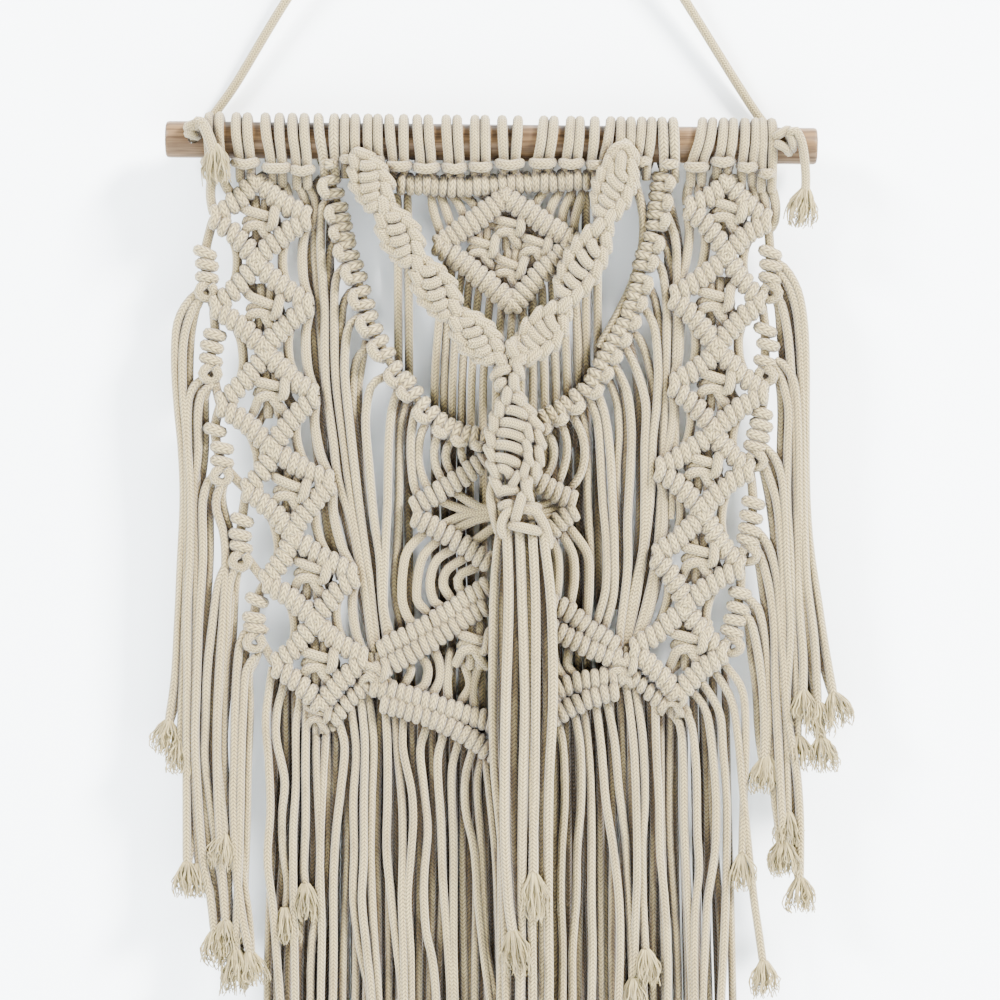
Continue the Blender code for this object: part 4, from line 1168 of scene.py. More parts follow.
def panel(cords, diamonds, inner, picots):
    """A side panel: six hitched diamonds, one below another, with square knots inside and loops between.

    inner is 1 where the panel's inner edge is on its right, and -1 where it is on its left.
    """
    chance = cords.chance
    for number, (top, left, right, bottom, knot) in enumerate(diamonds):
        sides = ((top, left), (top, right), (left, bottom), (right, bottom))
        for k, (start, end) in enumerate(sides):
            arm(cords, start, end, -ARM_BOW if k % 2 else ARM_BOW, ARM_TOP_DEPTH if k < 2 else ARM_LOW_DEPTH)
        square_knot(cords, *knot, -3.6, 0.96, chance.uniform(-0.08, 0.08))
        middle = np.asarray(knot, float)
        for (start, end), (share, reach) in zip(sides, KNOT_LEGS):
            outer = between(start, end, share)
            near = middle + np.asarray(reach) * 0.62
            halfway = (outer + near) / 2 + np.array((chance.uniform(-0.8, 0.8), 0.0))
            cords.line([(*outer, -2.2), (*halfway, -1.8), (*near, -1.4)], 2.4, 3.0)
        if number + 1 < len(diamonds):
            below = diamonds[number + 1]
            here, after = (right, below[2]) if inner > 0 else (left, below[1])
            far, beyond = (left, below[1]) if inner > 0 else (right, below[2])
            # Cords that leave a diamond's inner side and go back in below.
            for share, bow, depth in ((0.0, 3.6, -4.2), (0.42, 2.6, -3.0)):
                line = bowed(between(here, bottom, share), between(after, below[0], share), -inner * bow)
                cords.line(at_depth(line, depth), PANEL_CORD, PANEL_STEP)
            # And one that leaves its outer side, behind the stack of wraps.
            line = bowed(between(far, bottom, 0.42), between(beyond, below[0], 0.42), inner * 2.6)
            cords.line(at_depth(line, -3.0), PANEL_CORD, PANEL_STEP)
            stack = picots[number]
            edge = [(*far, -4.0), (*stack[0], -3.6), (*stack[-1], -3.6), (*beyond, -4.0)]
            cords.line(edge, PANEL_CORD, PANEL_STEP)
            picot(cords, stack)
            x, drop = stack[-1]
            cords.line([(x + inner * dx, drop + down, y) for dx, down, y in PICOT_LOOP], PANEL_CORD, 2.6)


def build_panels():
    """The two side panels with their lark's heads on the dowel."""
    for side, seed, inner, larks, diamonds, picots, feeds, row, knot in (
        ("left", 21, 1, LARKS_LEFT, DIAMONDS_LEFT, PICOTS_LEFT, FEEDS_LEFT,
         ((-68.3, 283.5), (-87.5, 303.5), -1.0), (-94.5, 301.5)),
        ("right", 22, -1, LARKS_RIGHT, DIAMONDS_RIGHT, PICOTS_RIGHT, FEEDS_RIGHT,
         ((65.6, 277.2), (87.5, 297), 1.0), (92, 293)),
    ):
        cords = Cords(seed)
        larks_on_dowel(cords, larks)
        panel(cords, diamonds, inner, picots)
        cords.lines(feeds, -3.6, PANEL_CORD, 3.0)
        # The row of hitches beside the lowest diamond, and the knot that ends it.
        arm(cords, *row, -4.8, ring=2.9, cord=2.5)
        square_knot(cords, *knot, -5.0, 0.62)
        cord_piece(f"panel_{side}_knots", cords, cotton_cord(), (f"panel_{side}",))


# ---------------------------------------------------------------- neckline

# The left and right halves of the cord that hangs in a U, and the lark's heads on each half.
CARRIER_LEFT = ((-89, 8), (-89, 14), (-88, 21), (-84, 36.8), (-79.6, 56.2), (-75.4, 68.3), (-71.6, 81.4),
                (-67.6, 95), (-61.8, 107.1), (-54.4, 120.2), (-46.8, 129.2), (-42.5, 136), (-30.2, 147.6),
                (-17.3, 153.8), (-8, 155.4))
CARRIER_RIGHT = ((88.5, 8), (87, 14), (85.1, 20), (83.5, 31), (81.4, 45.2), (79.3, 53), (76.1, 62), (73, 76),
                 (70.4, 84), (67.2, 93.5), (62, 102.4), (57.2, 111.3), (47.8, 128.1), (38.9, 136),
                 (30.5, 141.8), (18, 149))
UNITS_LEFT = ((-86.4, 24), (-83, 36.8), (-81, 47), (-78.8, 56.2), (-74, 68.3), (-69.8, 81.4), (-65.6, 95),
              (-58.8, 107.1), (-51.5, 120.2), (-44.6, 129.2), (-37.5, 140.1), (-29.4, 148.1), (-20.3, 152.8),
              (-10.5, 154.6))
UNITS_RIGHT = ((85.1, 21), (83.5, 31), (81.4, 42.2), (79.3, 53), (76.1, 63), (73, 74), (70.4, 84),
               (67.2, 93.5),
               (62, 102.4), (57.2, 111.3), (53, 120), (47.8, 128.1), (38.9, 136), (30.5, 141.8),
               (21.6, 147.3))
# The lark's heads at both ends of the carrying cord.
LARKS_NECK = ((-95, -86.6, -92.9, -84.5, 12.6), (85.6, 91.4, 84.5, 94, 12.6))
# The cord that edges the neckline inside its right half, and the strands that hang behind the others.
NECK_EDGE = ((70, 18), (74.5, 32), (76, 46), (74, 62), (68.5, 78), (61, 93), (52.5, 108))
NECK_STRANDS_BEHIND = (
    ((-70, 104), (-74, 130), (-73, 170), (-70, 205), (-66, 240), (-63, 268)),
    ((60, 112), (66, 135), (66.5, 170), (66, 205), (65.5, 240), (62, 268)),
    ((66, 96), (72, 120), (74, 160), (74, 195), (72, 228), (66, 262), (64.5, 273)),
    ((86, 26), (89, 50), (88, 90), (85, 130), (82, 170), (80, 215), (75, 248), (67, 273)),
    ((87, 22), (94, 50), (96, 90), (92, 130), (89, 170), (86, 215)),
    ((-88, 28), (-89, 60), (-87, 100), (-84, 140), (-80, 190), (-74, 235)),
    ((-95, 26), (-101.5, 50), (-101.5, 90), (-99, 130), (-95, 170), (-89, 215)),
    ((-94, 30), (-99, 60), (-97.5, 100), (-94, 140), (-90, 190), (-84, 230)),
)
# Strands that drop from the lark's heads, from the outermost to the middle.
NECK_STRANDS_LEFT = (
    ((-81, 16), (-90, 17.5), (-96.5, 22), (-97, 51.5), (-95, 83), (-93, 109), (-91.5, 135.5), (-88, 156.5),
     (-87, 177.5), (-81, 198.5), (-76, 219.5), (-72, 240), (-68.5, 258), (-66, 272)),
    ((-86.5, 28.5), (-92.5, 33.5), (-93.5, 56.5), (-91.5, 88), (-91, 125), (-87, 156.5), (-84.5, 177.5),
     (-77, 201), (-73, 224.5), (-69, 245), (-67, 262), (-65, 274)),
    ((-84.5, 50), (-88.5, 55), (-90, 72.5), (-89, 104), (-86, 135.5), (-84, 167), (-81, 188), (-75, 219.5),
     (-70, 240), (-67.5, 258), (-65, 272)),
    ((-79.5, 64), (-85, 70.5), (-86.5, 88), (-85.5, 125), (-81, 161.5), (-77, 193), (-72, 224.5),
     (-67.5, 256), (-65, 272)),
    ((-77, 77.5), (-82, 85.5), (-83, 109), (-80.5, 146), (-76, 188), (-70, 224.5), (-66.5, 262),
     (-64.5, 274)),
    ((-73, 91.5), (-79, 97.5), (-81, 119.5), (-78, 151), (-74.5, 182.5), (-71, 209), (-67.5, 235),
     (-64.5, 264), (-63.5, 275)),
    ((-69, 108), (-75, 114.5), (-77, 135.5), (-74.5, 161.5), (-71, 198.5), (-66.5, 219.5), (-64, 245.5),
     (-65.5, 264), (-64, 275)),
    ((-59.5, 123), (-67, 128), (-70, 146), (-68, 172), (-65.5, 198.5), (-62.5, 219.5), (-61.5, 240.5),
     (-58.5, 264.5)),
    ((-53, 130), (-56.5, 142), (-58, 161.5), (-58.5, 188), (-60, 219.5), (-60.5, 245.5), (-56, 262.5)),
    ((-48.5, 136.5), (-52, 151), (-52.5, 177.5), (-53.5, 209), (-55, 235), (-51, 258.5)),
    ((-44, 142), (-46, 154.5), (-46, 169.5), (-44, 182.5), (-39.5, 189.5)),
    ((-37.5, 146), (-41.5, 155.5), (-42, 169.5), (-38, 181), (-34, 186)),
    ((-31, 151), (-34, 161.5), (-33, 171), (-29, 179.5)), ((-24.5, 155.5), (-28, 163), (-27, 170),
     (-23, 176)),
    ((-19.5, 158), (-19.5, 164.5), (-16.5, 171)),
)
# And from the middle to the outermost.
NECK_STRANDS_RIGHT = (
    ((24, 151), (28.5, 159.5), (28, 169), (23.5, 177.5)), ((33, 148.5), (35.5, 157.5), (35, 167),
     (31.5, 179)),
    ((38, 143), (43.5, 153.5), (45, 164.5), (42.5, 175), (37.5, 182)),
    ((43, 140.5), (46, 156.5), (46.5, 188), (48, 219.5), (46.5, 251)),
    ((47, 134.5), (51.5, 146), (53, 161.5), (54.5, 188), (56.5, 211.5), (56, 235), (51, 253)),
    ((51, 130), (55.5, 143.5), (58, 161.5), (59.5, 188), (60.5, 214), (60, 238), (54.5, 258.5)),
    ((56, 122), (61.5, 134.5), (63, 151), (62, 167), (61.5, 188), (63, 219.5), (61, 245.5)),
    ((60.5, 117.5), (67, 131), (69.5, 151), (69, 172), (67.5, 198.5), (67.5, 224.5), (63.5, 258), (63, 272)),
    ((65.5, 107), (72.5, 121), (77, 138), (76.5, 161.5), (76.5, 188), (75.5, 214), (69.5, 238.5), (67, 256),
     (65, 272)),
    ((69, 98.5), (75.5, 106.5), (80.5, 127.5), (80, 151), (78, 177.5), (76, 209), (71, 235), (67, 260),
     (65, 273)),
    ((74.5, 85.5), (81, 96), (83.5, 117), (83, 135.5), (80.5, 156.5), (79.5, 185), (76.5, 212), (72, 240),
     (68, 262), (66, 273)),
    ((77, 72.5), (82, 83), (85, 104), (85.5, 130), (82.5, 155), (81, 185), (79, 210), (74, 245), (69, 264),
     (67, 274)),
    ((80.5, 59.5), (85.5, 68), (88, 88), (87.5, 119.5), (86.5, 150), (85, 185), (83, 215), (78, 240),
     (71, 264), (68, 274)),
    ((82.5, 45), (87.5, 54), (91, 70), (91, 98.5), (90, 130), (89.5, 160), (88, 190), (86.5, 215),
     (82, 238), (74, 262), (69, 273)),
    ((84.5, 33), (88.5, 40), (92.5, 51.5), (93.5, 77.5), (93, 110), (92.5, 140), (92, 170), (90, 198)),
)


# Half the width of a lark's head on the carrying cord, at least and at most.
NECK_LARK_REACH = (5.2, 7.2)


def strand_radius(share=1.0):
    return MM_PER_M / 2 * share * sizes().strand_diameter


def nearest_on(line, x, drop):
    return int(np.argmin(np.hypot(line[:, 0] - x, line[:, 1] - drop)))


def build_neckline():
    """The carrying cord that hangs in a U, the lark's heads on it and the strands that drop from them."""
    cords = Cords(31)
    larks_on_dowel(cords, LARKS_NECK)
    for carrier, units, strands, behind, outer in (
        (CARRIER_LEFT, UNITS_LEFT, NECK_STRANDS_LEFT, (0, 2, 4, 6, 9), -1),
        (CARRIER_RIGHT, UNITS_RIGHT, NECK_STRANDS_RIGHT, (3, 6, 9, 11, 13), 1),
    ):
        line = smooth(at_depth(carrier, -5.0), 2.0)
        cords.add(line, 2.35)
        ahead, across = flat_axes(line)
        along = lengths(line)
        nearest = [nearest_on(line, x, drop) for x, drop in units]
        gaps = np.gradient(along[nearest])
        for near, gap in zip(nearest, gaps):
            outward = across[near] * (1 if across[near][0] * outer > 0 or across[near][1] > 0.6 else -1)
            least, most = NECK_LARK_REACH
            lark_on_cord(cords, line[near], ahead[near], outward, min(max(gap / 2, least), most))
        for k, strand in enumerate(strands):
            front, back = (-2.6, 1.4) if k in behind else (-5.2, -3.6)
            x, drop = strand[0]
            root = line[nearest_on(line, x, drop)]
            strand = ((0.6 * root[0] + 0.4 * x, 0.6 * root[1] + 0.4 * drop), *strand)
            cords.line(hang(strand, front, back, 0.8, cords.chance), strand_radius(), 4.5)
    cords.line(at_depth(NECK_EDGE, -4.5), 2.5, 4.0)
    for strand in NECK_STRANDS_BEHIND:
        cords.line(hang(strand, -1.0, 2.6, 0.6, cords.chance), strand_radius(), 5.0)
    cord_piece("neckline_cords", cords, cotton_strand(), ("neck_curtain",))


# ---------------------------------------------------------------- centre and back strands

LARKS_CENTRE = (
    (-57.8, -50.1, -59.3, -45.7, 13.7), (-43.1, -37.3, -45.2, -31, 14.7), (-27.8, -22.1, -29.9, -16.8, 14.7),
    (-12.6, -7.4, -15.8, -3.7, 14.2), (1.6, 10, -2.1, 13.1, 12.6), (23.6, 28.9, 15.8, 29.9, 12.3),
    (37.8, 42.5, 31, 44.6, 12.3), (50.4, 58.8, 45.7, 56.7, 13.1),
)
TOP_BAR = ((-51, 22), (-36, 22.6), (-20, 23.6), (0, 22.4), (20, 21), (38, 20.4), (54.6, 20.2))
CENTRE_DIAMOND = ((3.4, 29.0), (-31.5, 54.5), (39.5, 53.0), (7.0, 85.5))
CENTRE_KNOTS = ((5.6, 45.6), (-8.6, 56.6), (19.6, 55.6), (5.8, 67.4))
# Strands that hang behind: x and drop at the top, at the bend and at the tip, then how far back they hang.
BACK_STRANDS = (
    (-53.5, 27, -53.0, 128, -52.5, 575, 3.0), (-48.2, 27, -47.5, 128, -45.5, 582, 3.6),
    (-27.5, 62, -34.0, 128, -34.5, 585, 3.4),
    (-24.5, 64, -29.0, 128, -30.5, 596, 4.6), (-19.5, 68, -24.5, 128, -25.5, 600, 3.6),
    (-15.5, 72, -19.5, 128, -20.5, 588, 4.8), (-10.5, 76, -14.5, 128, -15.0, 592, 3.6),
    (-4.5, 80, -8.5, 128, -9.0, 610, 4.6), (1.5, 84, -1.5, 128, -2.5, 606, 3.6),
    (7.0, 88, 4.5, 128, 4.0, 598, 4.4),
    (12.5, 86, 11.5, 128, 11.0, 612, 3.6), (17.5, 80, 18.0, 128, 18.5, 596, 4.6),
    (22.5, 75, 24.0, 128, 25.5, 604, 3.6), (27.5, 70, 30.0, 128, 32.0, 606, 4.6),
    (33.0, 64, 36.0, 128, 38.5, 590, 3.6), (38.5, 27, 41.5, 128, 43.5, 584, 4.4),
    (45.5, 26, 46.0, 128, 48.5, 580, 3.4), (51.8, 26, 52.0, 128, 56.0, 572, 3.2),
)
# Cords from the top bar into the diamond, then those that join its knots.
CENTRE_CORDS = (
    ((-35.5, 27), (-34.5, 36), (-31.0, 47)), ((-31, 27), (-28.5, 34), (-25.5, 43)),
    ((-26, 27), (-22, 31), (-19, 38)), ((-20.5, 27), (-15.5, 30), (-12.5, 34)), ((-10, 27), (-6, 29),
     (-4, 30.5)),
    ((8, 26), (9.5, 28), (11, 30.5)), ((24, 26), (20.5, 30), (18, 35)), ((31.8, 26), (28, 33), (25.5, 40)),
    ((38.3, 26), (34, 36), (32.5, 46)), ((44, 26), (40.5, 38), (38, 50)),
    ((-9, 42), (-2, 44), (2, 46)), ((22, 42), (17, 44), (14, 46)), ((-12, 66), (-3, 64), (1, 62)),
    ((27, 66), (19, 64), (15, 62)), ((-18, 60), (-10, 59), (-4, 58)), ((33, 59), (27, 58), (20, 57)),
)
# A short strand behind the diamond's right side.
SHORT_BACK_STRAND = ((36.5, 62, 1.0), (40, 80, 4.0), (41.5, 100, 4.0), (42, 128, 4.0), (40, 160, 4.0))
BAR_CORD = 2.5


def build_centre():
    """The middle lark's heads, the top bar and the diamond of four square knots."""
    cords = Cords(41)
    larks_on_dowel(cords, LARKS_CENTRE)
    pitch = MM_PER_M * sizes().large_pitch
    hitches(cords, at_depth(TOP_BAR, -5.6), pitch, 3.6, BAR_CORD, 0.0)
    top, left, right, bottom = CENTRE_DIAMOND
    for start, end, bow, y in (
        (top, left, 0.6, -6.4), (top, right, -0.6, -6.6),
        (left, bottom, 0.8, -7.0), (right, bottom, -0.8, -7.2),
    ):
        arm(cords, start, end, bow, y, 3.9, BAR_CORD, pitch, 0.12, 0.0)
    for k, (x, drop) in enumerate(CENTRE_KNOTS):
        square_knot(cords, x, drop, -3.2, 0.8, 0.05 * (k - 1))
    cords.lines(CENTRE_CORDS, -3.0, BAR_CORD, 3.0, 2.5)
    cord_piece("centre_knots", cords, cotton_cord(), ("centre_piece",))
    behind = Cords(42)
    for x0, d0, x1, d1, x2, d2, depth in BACK_STRANDS:
        sway = behind.chance.uniform(-0.8, 0.8)
        line = [(x0, d0, -2.5), (x0 + 0.4 * (x1 - x0), d0 + 16, depth - 1.5), (x1, d1, depth + 1.5),
                (x1 + sway, d1 + 70, depth + 2), (x1 + 0.3 * (x2 - x1) - sway, d1 + 150, depth + 2),
                (x2 + sway, d1 + 260, depth + 1.5), (x2 - 0.5 * sway, d1 + 350, depth + 1),
                (x2, d2, depth + 1)]
        behind.line(line, strand_radius(), 5.0)
    behind.line(SHORT_BACK_STRAND, 2.3, 4.5)
    cord_piece("back_strands", behind, cotton_strand(), ("back_fringe",))


# ---------------------------------------------------------------- sennits, gathering knot and tassel

# Waists of the spiral sennits (x, drop, y), then the rungs of each lobe: shares of its length and half width,
# half length and tilt.
WAISTS_LEFT = ((-72.2, 10.2, -14.5), (-60.8, 37.2, -16.5), (-42.6, 65.3, -16.8), (-22.9, 93.4, -17.5),
               (0.5, 115, -19.5))
WAISTS_RIGHT = ((65, 7, -14.5), (53.5, 44.5, -16.5), (32.2, 87.6, -17.2), (10.4, 115.5, -19.5))
RUNGS_LEFT = ((0.17, 0.34, 3.2, -0.10), (0.36, 0.10, 4.3, -0.22), (0.54, -0.12, 4.4, -0.32),
              (0.71, -0.30, 3.6, -0.42),
              (0.87, -0.42, 2.4, -0.55))
RUNGS_RIGHT = ((0.27, 0.25, 4.4, 1.08), (0.42, 0.06, 5.0, 0.90), (0.56, -0.07, 4.8, 0.79),
               (0.70, -0.07, 4.4, 0.79),
               (0.84, -0.28, 3.2, 0.52))
# Rungs of the joined sennit, from their left to their right ends (x and drop of each).
RUNGS_JOINED = (
    (-3.1, 122.9, 6.4, 119.6), (-1.0, 128.9, 3.1, 126.4), (6.5, 134.6, 13, 138.2), (3.1, 140.6, 14.8, 144.3),
    (0.3, 147, 16.2, 151.2), (-1.2, 152.2, 15.5, 156.9), (-2, 158.7, 14, 162.6), (-2.3, 165.3, 12.2, 170.1),
    (-0.5, 170.6, 7.5, 175.3), (-0.5, 183.5, 11.1, 182.8), (1.3, 190.8, 8.3, 190.8),
)
LARKS_SENNIT_LEFT = ((-80.9, -75.6, -83.5, -71.9, 10), (-68.8, -63.8, -71.4, -59.9, 10.8))
LARKS_SENNIT_RIGHT = ((64, 69.3, 59.3, 71.9, 4.5), (75.1, 80.3, 69.3, 79.8, 11))
TASSEL_STRANDS = (
    ((2.5, 196), (-0.6, 214), (-2.5, 240.5), (-3, 293), (-2, 329.5), (2, 371.5), (3.5, 413.5), (4, 450.5),
     (5, 545)),
    ((4, 198.5), (5, 240.5), (3.5, 293), (3, 324.5), (3, 361), (5, 398), (7.5, 415)),
    ((6.5, 199), (8.5, 240.5), (8, 282.5), (7.5, 324.5), (8.5, 371.5), (11, 413.5), (12, 450.5), (13, 529)),
    ((10.5, 199.5), (12, 240.5), (13.5, 293), (12.5, 335), (12, 377), (11.5, 413.5), (11, 450.5),
     (10.5, 540)),
    ((13.5, 199.5), (16, 240.5), (17, 293), (17.5, 335), (18, 366.5), (18, 385)),
    ((17, 199.5), (19, 240.5), (19, 293), (18.5, 345.5), (17, 398), (17.5, 450.5), (17, 539.5)),
    ((20, 199), (23.5, 240.5), (25, 293), (23.5, 324.5), (23, 371.5), (23, 424), (22, 492.5), (21.5, 534.5)),
    ((22, 198.5), (27, 240.5), (28, 293), (26, 335), (25.5, 387.5), (26, 440), (25.5, 503)),
)


# The tassel's second layer hangs behind the first: where each of its strands is, from the left.
TASSEL_BEHIND = (0.5, 5.5, 10.0, 14.5, 19.0, 23.0)
# A strand that ends above this drop is one of the two short ones.
TASSEL_SHORT = 450
# The joined sennit's chains, each with its pitch and its cord.
JOINED_CHAINS = (
    (((6.5, 109.5, -22.5), (1.5, 116.5, -22.5)), 7.0, 2.6),
    (((7.6, 111, -23.5), (9.6, 119, -23.5), (7.6, 127, -24), (4.4, 133.5, -24), (0.6, 140.5, -23),
      (-2.3, 148, -22),
      (-3.8, 155, -21.5), (-4.1, 162, -21.5), (-3.1, 169, -21.5), (-1.8, 175, -22),
      (-0.8, 181, -22)), 8.0, 2.9),
    (((8.8, 133, -21), (14.8, 142, -21.5), (18.2, 147.5, -21.5), (20.2, 154, -21.5), (20.6, 161, -21.5),
      (19.9, 168.5, -22), (17.4, 174.5, -22.5), (14.6, 180, -23)), 8.0, 2.9),
    (((15.2, 153, -24), (14.4, 161, -24), (15.4, 168, -24.5), (13, 173, -25), (8.4, 177.5, -25)), 6.8, 2.4),
)
# The gathering knot's short turns by their two ends, and its longer wraps, each with its cord and its step.
GATHER_TURNS = (
    ((12.9, 176.5, -24.5), (15.8, 189, -24.5), 2.8), ((12.1, 185.5, -27), (8.2, 199, -26), 2.8),
    ((5.6, 200.8, -25.6), (20.9, 204.2, -25.6), 2.6), ((12.5, 190.4, -24), (19.7, 191.8, -23), 2.5),
    ((-0.4, 183.6, -23), (11.1, 182.8, -23.6), 2.5), ((1.2, 191, -23), (8.6, 190.4, -24), 2.5),
)
GATHER_WRAPS = (
    (((9.5, 190.5, -23), (6.2, 193.4, -25), (2.6, 196.8, -25.2), (1.2, 202.4, -24.6),
      (3.0, 207.2, -23)), 2.75, 2.4),
    (((9, 191.5, -23), (13.3, 192.6, -26), (18.6, 193.6, -25.6), (22.6, 199.5, -24.4), (25, 205.5, -22.8),
      (25.9, 213, -21)), 2.7, 2.8),
    (((-2.8, 177, -19.5), (-4.4, 186, -20.5), (-2.6, 196, -20.5), (-0.4, 205, -19.5)), 2.5, 3.0),
    (((8.5, 180, -18.5), (9, 192, -19), (11, 205, -18.5)), 5.6, 4.0),
)
# Over the right sennit's first lobe: its arch, and the turns below it.
RIGHT_ARCH = ((58.2, 13, -13), (58.6, 7.5, -15.5), (61.5, 4.3, -16.8), (64.5, 3.7, -17.2), (67.6, 4.6, -16.8),
              (70.4, 8, -15.5), (71.4, 13, -13))
RIGHT_TURNS = (((63.9, 7.6, -18.2), (62.6, 18.5, -18.2), 1.4, 2.9), ((60.2, 11.4, -17),
               (57.2, 22.5, -17), 1.0, 2.7),
               ((66.6, 12.8, -17), (71.0, 23.0, -17), 1.0, 2.7))
SENNIT_CORD = 3.2


def build_sennits():
    """The two spiral sennits, the one that they join into, the gathering knot and the tassel."""
    left = Cords(51)
    larks_on_dowel(left, LARKS_SENNIT_LEFT)
    sennit(left, WAISTS_LEFT, 7.5, RUNGS_LEFT, SENNIT_CORD)
    left.line(((-77.5, 15, -9), (-75, 14, -12), (-72, 15, -15)), 2.5, 3.0)
    left.line(((-65, 15, -9), (-66, 15, -12), (-68, 17, -15)), 2.5, 3.0)
    cord_piece("sennit_left_cords", left, cotton_cord(), ("sennit_left",))
    right = Cords(52)
    larks_on_dowel(right, LARKS_SENNIT_RIGHT)
    sennit(right, WAISTS_RIGHT, 7.7, RUNGS_RIGHT, SENNIT_CORD)
    right.line(RIGHT_ARCH, 2.9, 2.2)
    for start, end, bulge, cord in RIGHT_TURNS:
        pill(right, start, end, bulge, 2.4, cord)
    cord_piece("sennit_right_cords", right, cotton_cord(), ("sennit_right",))
    joined = Cords(53)
    for x0, drop0, x1, drop1 in RUNGS_JOINED:
        pill(joined, (x0 + 0.8, drop0, -23.2), (x1 - 0.8, drop1, -23.2), 1.4, 2.4, 2.8, -0.6)
    for route, pitch, cord in JOINED_CHAINS:
        links(joined, route, pitch, cord)
    joined.line([(3, 108, -18.5), (6, 130, -18.5), (8, 155, -18), (8.5, 190, -19)], 4.8, 5.0)
    cord_piece("sennit_joined_cords", joined, cotton_cord(), ("sennit_joined",))
    gather = Cords(54)
    for start, end, cord in GATHER_TURNS:
        pill(gather, start, end, 1.0, 2.6, cord)
    for wrap, cord, step in GATHER_WRAPS:
        gather.line(wrap, cord, step)
    cord_piece("gathering_wraps", gather, cotton_cord(), ("gathering_knot",))
    tassel = Cords(55)
    for k, strand in enumerate(TASSEL_STRANDS):
        front = -18.0 - 5.0 * (k % 2)
        # The two short ones lie in front, where their brushes show.
        back = -19.5 if strand[-1][1] < TASSEL_SHORT else -10.0 - 3.2 * (k % 2)
        tassel.line(hang(strand, front, back, 0.6, tassel.chance), 2.55, 4.5)
    for shift in TASSEL_BEHIND:
        strand = ((4 + shift * 0.8, 200), (shift + 1, 240), (shift + 2, 300), (shift + 1, 360),
                  (shift + 1, 420), (shift, 480), (shift, 530))
        tassel.line(hang(strand, -15.4, -8.0, 0.6, tassel.chance), 2.5, 5.0)
    cord_piece("tassel_strands", tassel, cotton_strand(), ("tassel",))
    tufts = Cords(56)
    fray(tufts, (7.5, 414, -19.8), (0.1, 1, 0), 14, 24, 100)
    fray(tufts, (18, 384, -19.8), (0.05, 1, 0), 14, 26, 100)
    cord_piece("tassel_frays", tufts, fibre(), (), 0)


# ---------------------------------------------------------------- butterfly and hip net

# The butterfly's four hitched sides: start, end and bow.
WING_ARMS = (((-7.4, 167), (-43.5, 191.5), 0.8), ((-43.5, 197), (-6.3, 220), 0.8),
             ((18.9, 177), (38.5, 188.5), -0.6), ((38.5, 194), (25, 206), -0.8))
WING_ARCS_LEFT = (
    ((-38.9, 204.8), (-47.8, 214.2), (-50.4, 224.7), (-50.9, 240.5), (-47.8, 249.9), (-44.1, 253.6)),
    ((-32, 209), (-39.4, 216.8), (-42.5, 227.3), (-43.1, 240.5), (-38.9, 245.7)),
    ((-23.1, 213.2), (-32.6, 219.4), (-36.2, 229.9), (-34.7, 240.5), (-31, 243.6)),
    ((-17.9, 218.4), (-27.3, 224.7), (-29.4, 232.6), (-25.7, 238.9)),
    ((-12.6, 223.7), (-20.5, 227.3), (-21.5, 232.6), (-18.9, 236.8)),
)
WING_ARCS_RIGHT = (
    ((38, 204), (46.2, 216), (47.3, 230), (46.5, 245), (44.5, 257)),
    ((33, 206), (38.5, 216), (39.4, 230), (37, 244)), ((27, 208), (30.5, 216), (31, 230), (29.5, 242)),
)
WING_CROSSINGS = (
    ((-31, 188), (-15.2, 194.3), (0.5, 195.8)), ((-23.1, 183.8), (-10, 192.2), (0, 194)),
    ((-29.4, 201.1), (-17.9, 195.8), (0.5, 193.2)), ((-23.1, 203.7), (-12.6, 198.5), (0.5, 195.8)),
    ((-15.2, 211.6), (-4.7, 203.7), (3, 199)), ((36, 190), (28, 193), (18, 196)), ((34, 196), (26, 197),
     (16, 197)),
    ((30, 186), (24, 190), (16, 194)),
)
# Thick bars of the hip net, as (x, drop) from the side to the middle.
HIP_BARS = (
    ((-61.4, 266.7), (-33, 251), (-6.3, 233.6)), ((-66.7, 279.8), (-38, 263), (-8.4, 243.6)),
    ((-65.1, 285.6), (-54.6, 288.8), (-36.2, 294.5), (-20.5, 299.8), (-4, 304.5)),
    ((-59.9, 294.5), (-46.7, 298.2), (-25.7, 306.1), (-3, 321)),
    ((28.4, 243.1), (34.6, 245.7), (47.8, 256.2), (59.9, 264.1)), ((28.4, 255.2), (40, 261.5), (53, 267.8),
     (66.2, 273)),
    ((64.6, 279.8), (47.8, 282.5), (32, 286.7), (28.4, 290.3)), ((59.9, 287.7), (47.8, 291.4),
     (37.3, 296.6), (28.4, 301.4)),
)
# Cords that bow between the two V bars.
HIP_ARCS = (
    ((-49.4, 273), (-46.2, 277.2), (-49.4, 284)), ((-41.5, 269.3), (-37.3, 276.2), (-38.9, 285.1),
     (-42.5, 287.7)),
    ((-33.6, 267.8), (-31, 274.6), (-31, 282.5), (-34.7, 289.3)), ((-25.7, 269.3), (-27.3, 282.5),
     (-26.8, 291.4)),
    ((-17.9, 274.6), (-15.2, 285.1), (-19.4, 293)), ((-11, 274.6), (-13.7, 287.7), (-12.6, 297.2)),
    ((28.4, 266.7), (29.9, 274.6), (33.1, 279.8)), ((36.2, 269.3), (35.7, 274.6), (38.3, 278.3)),
)


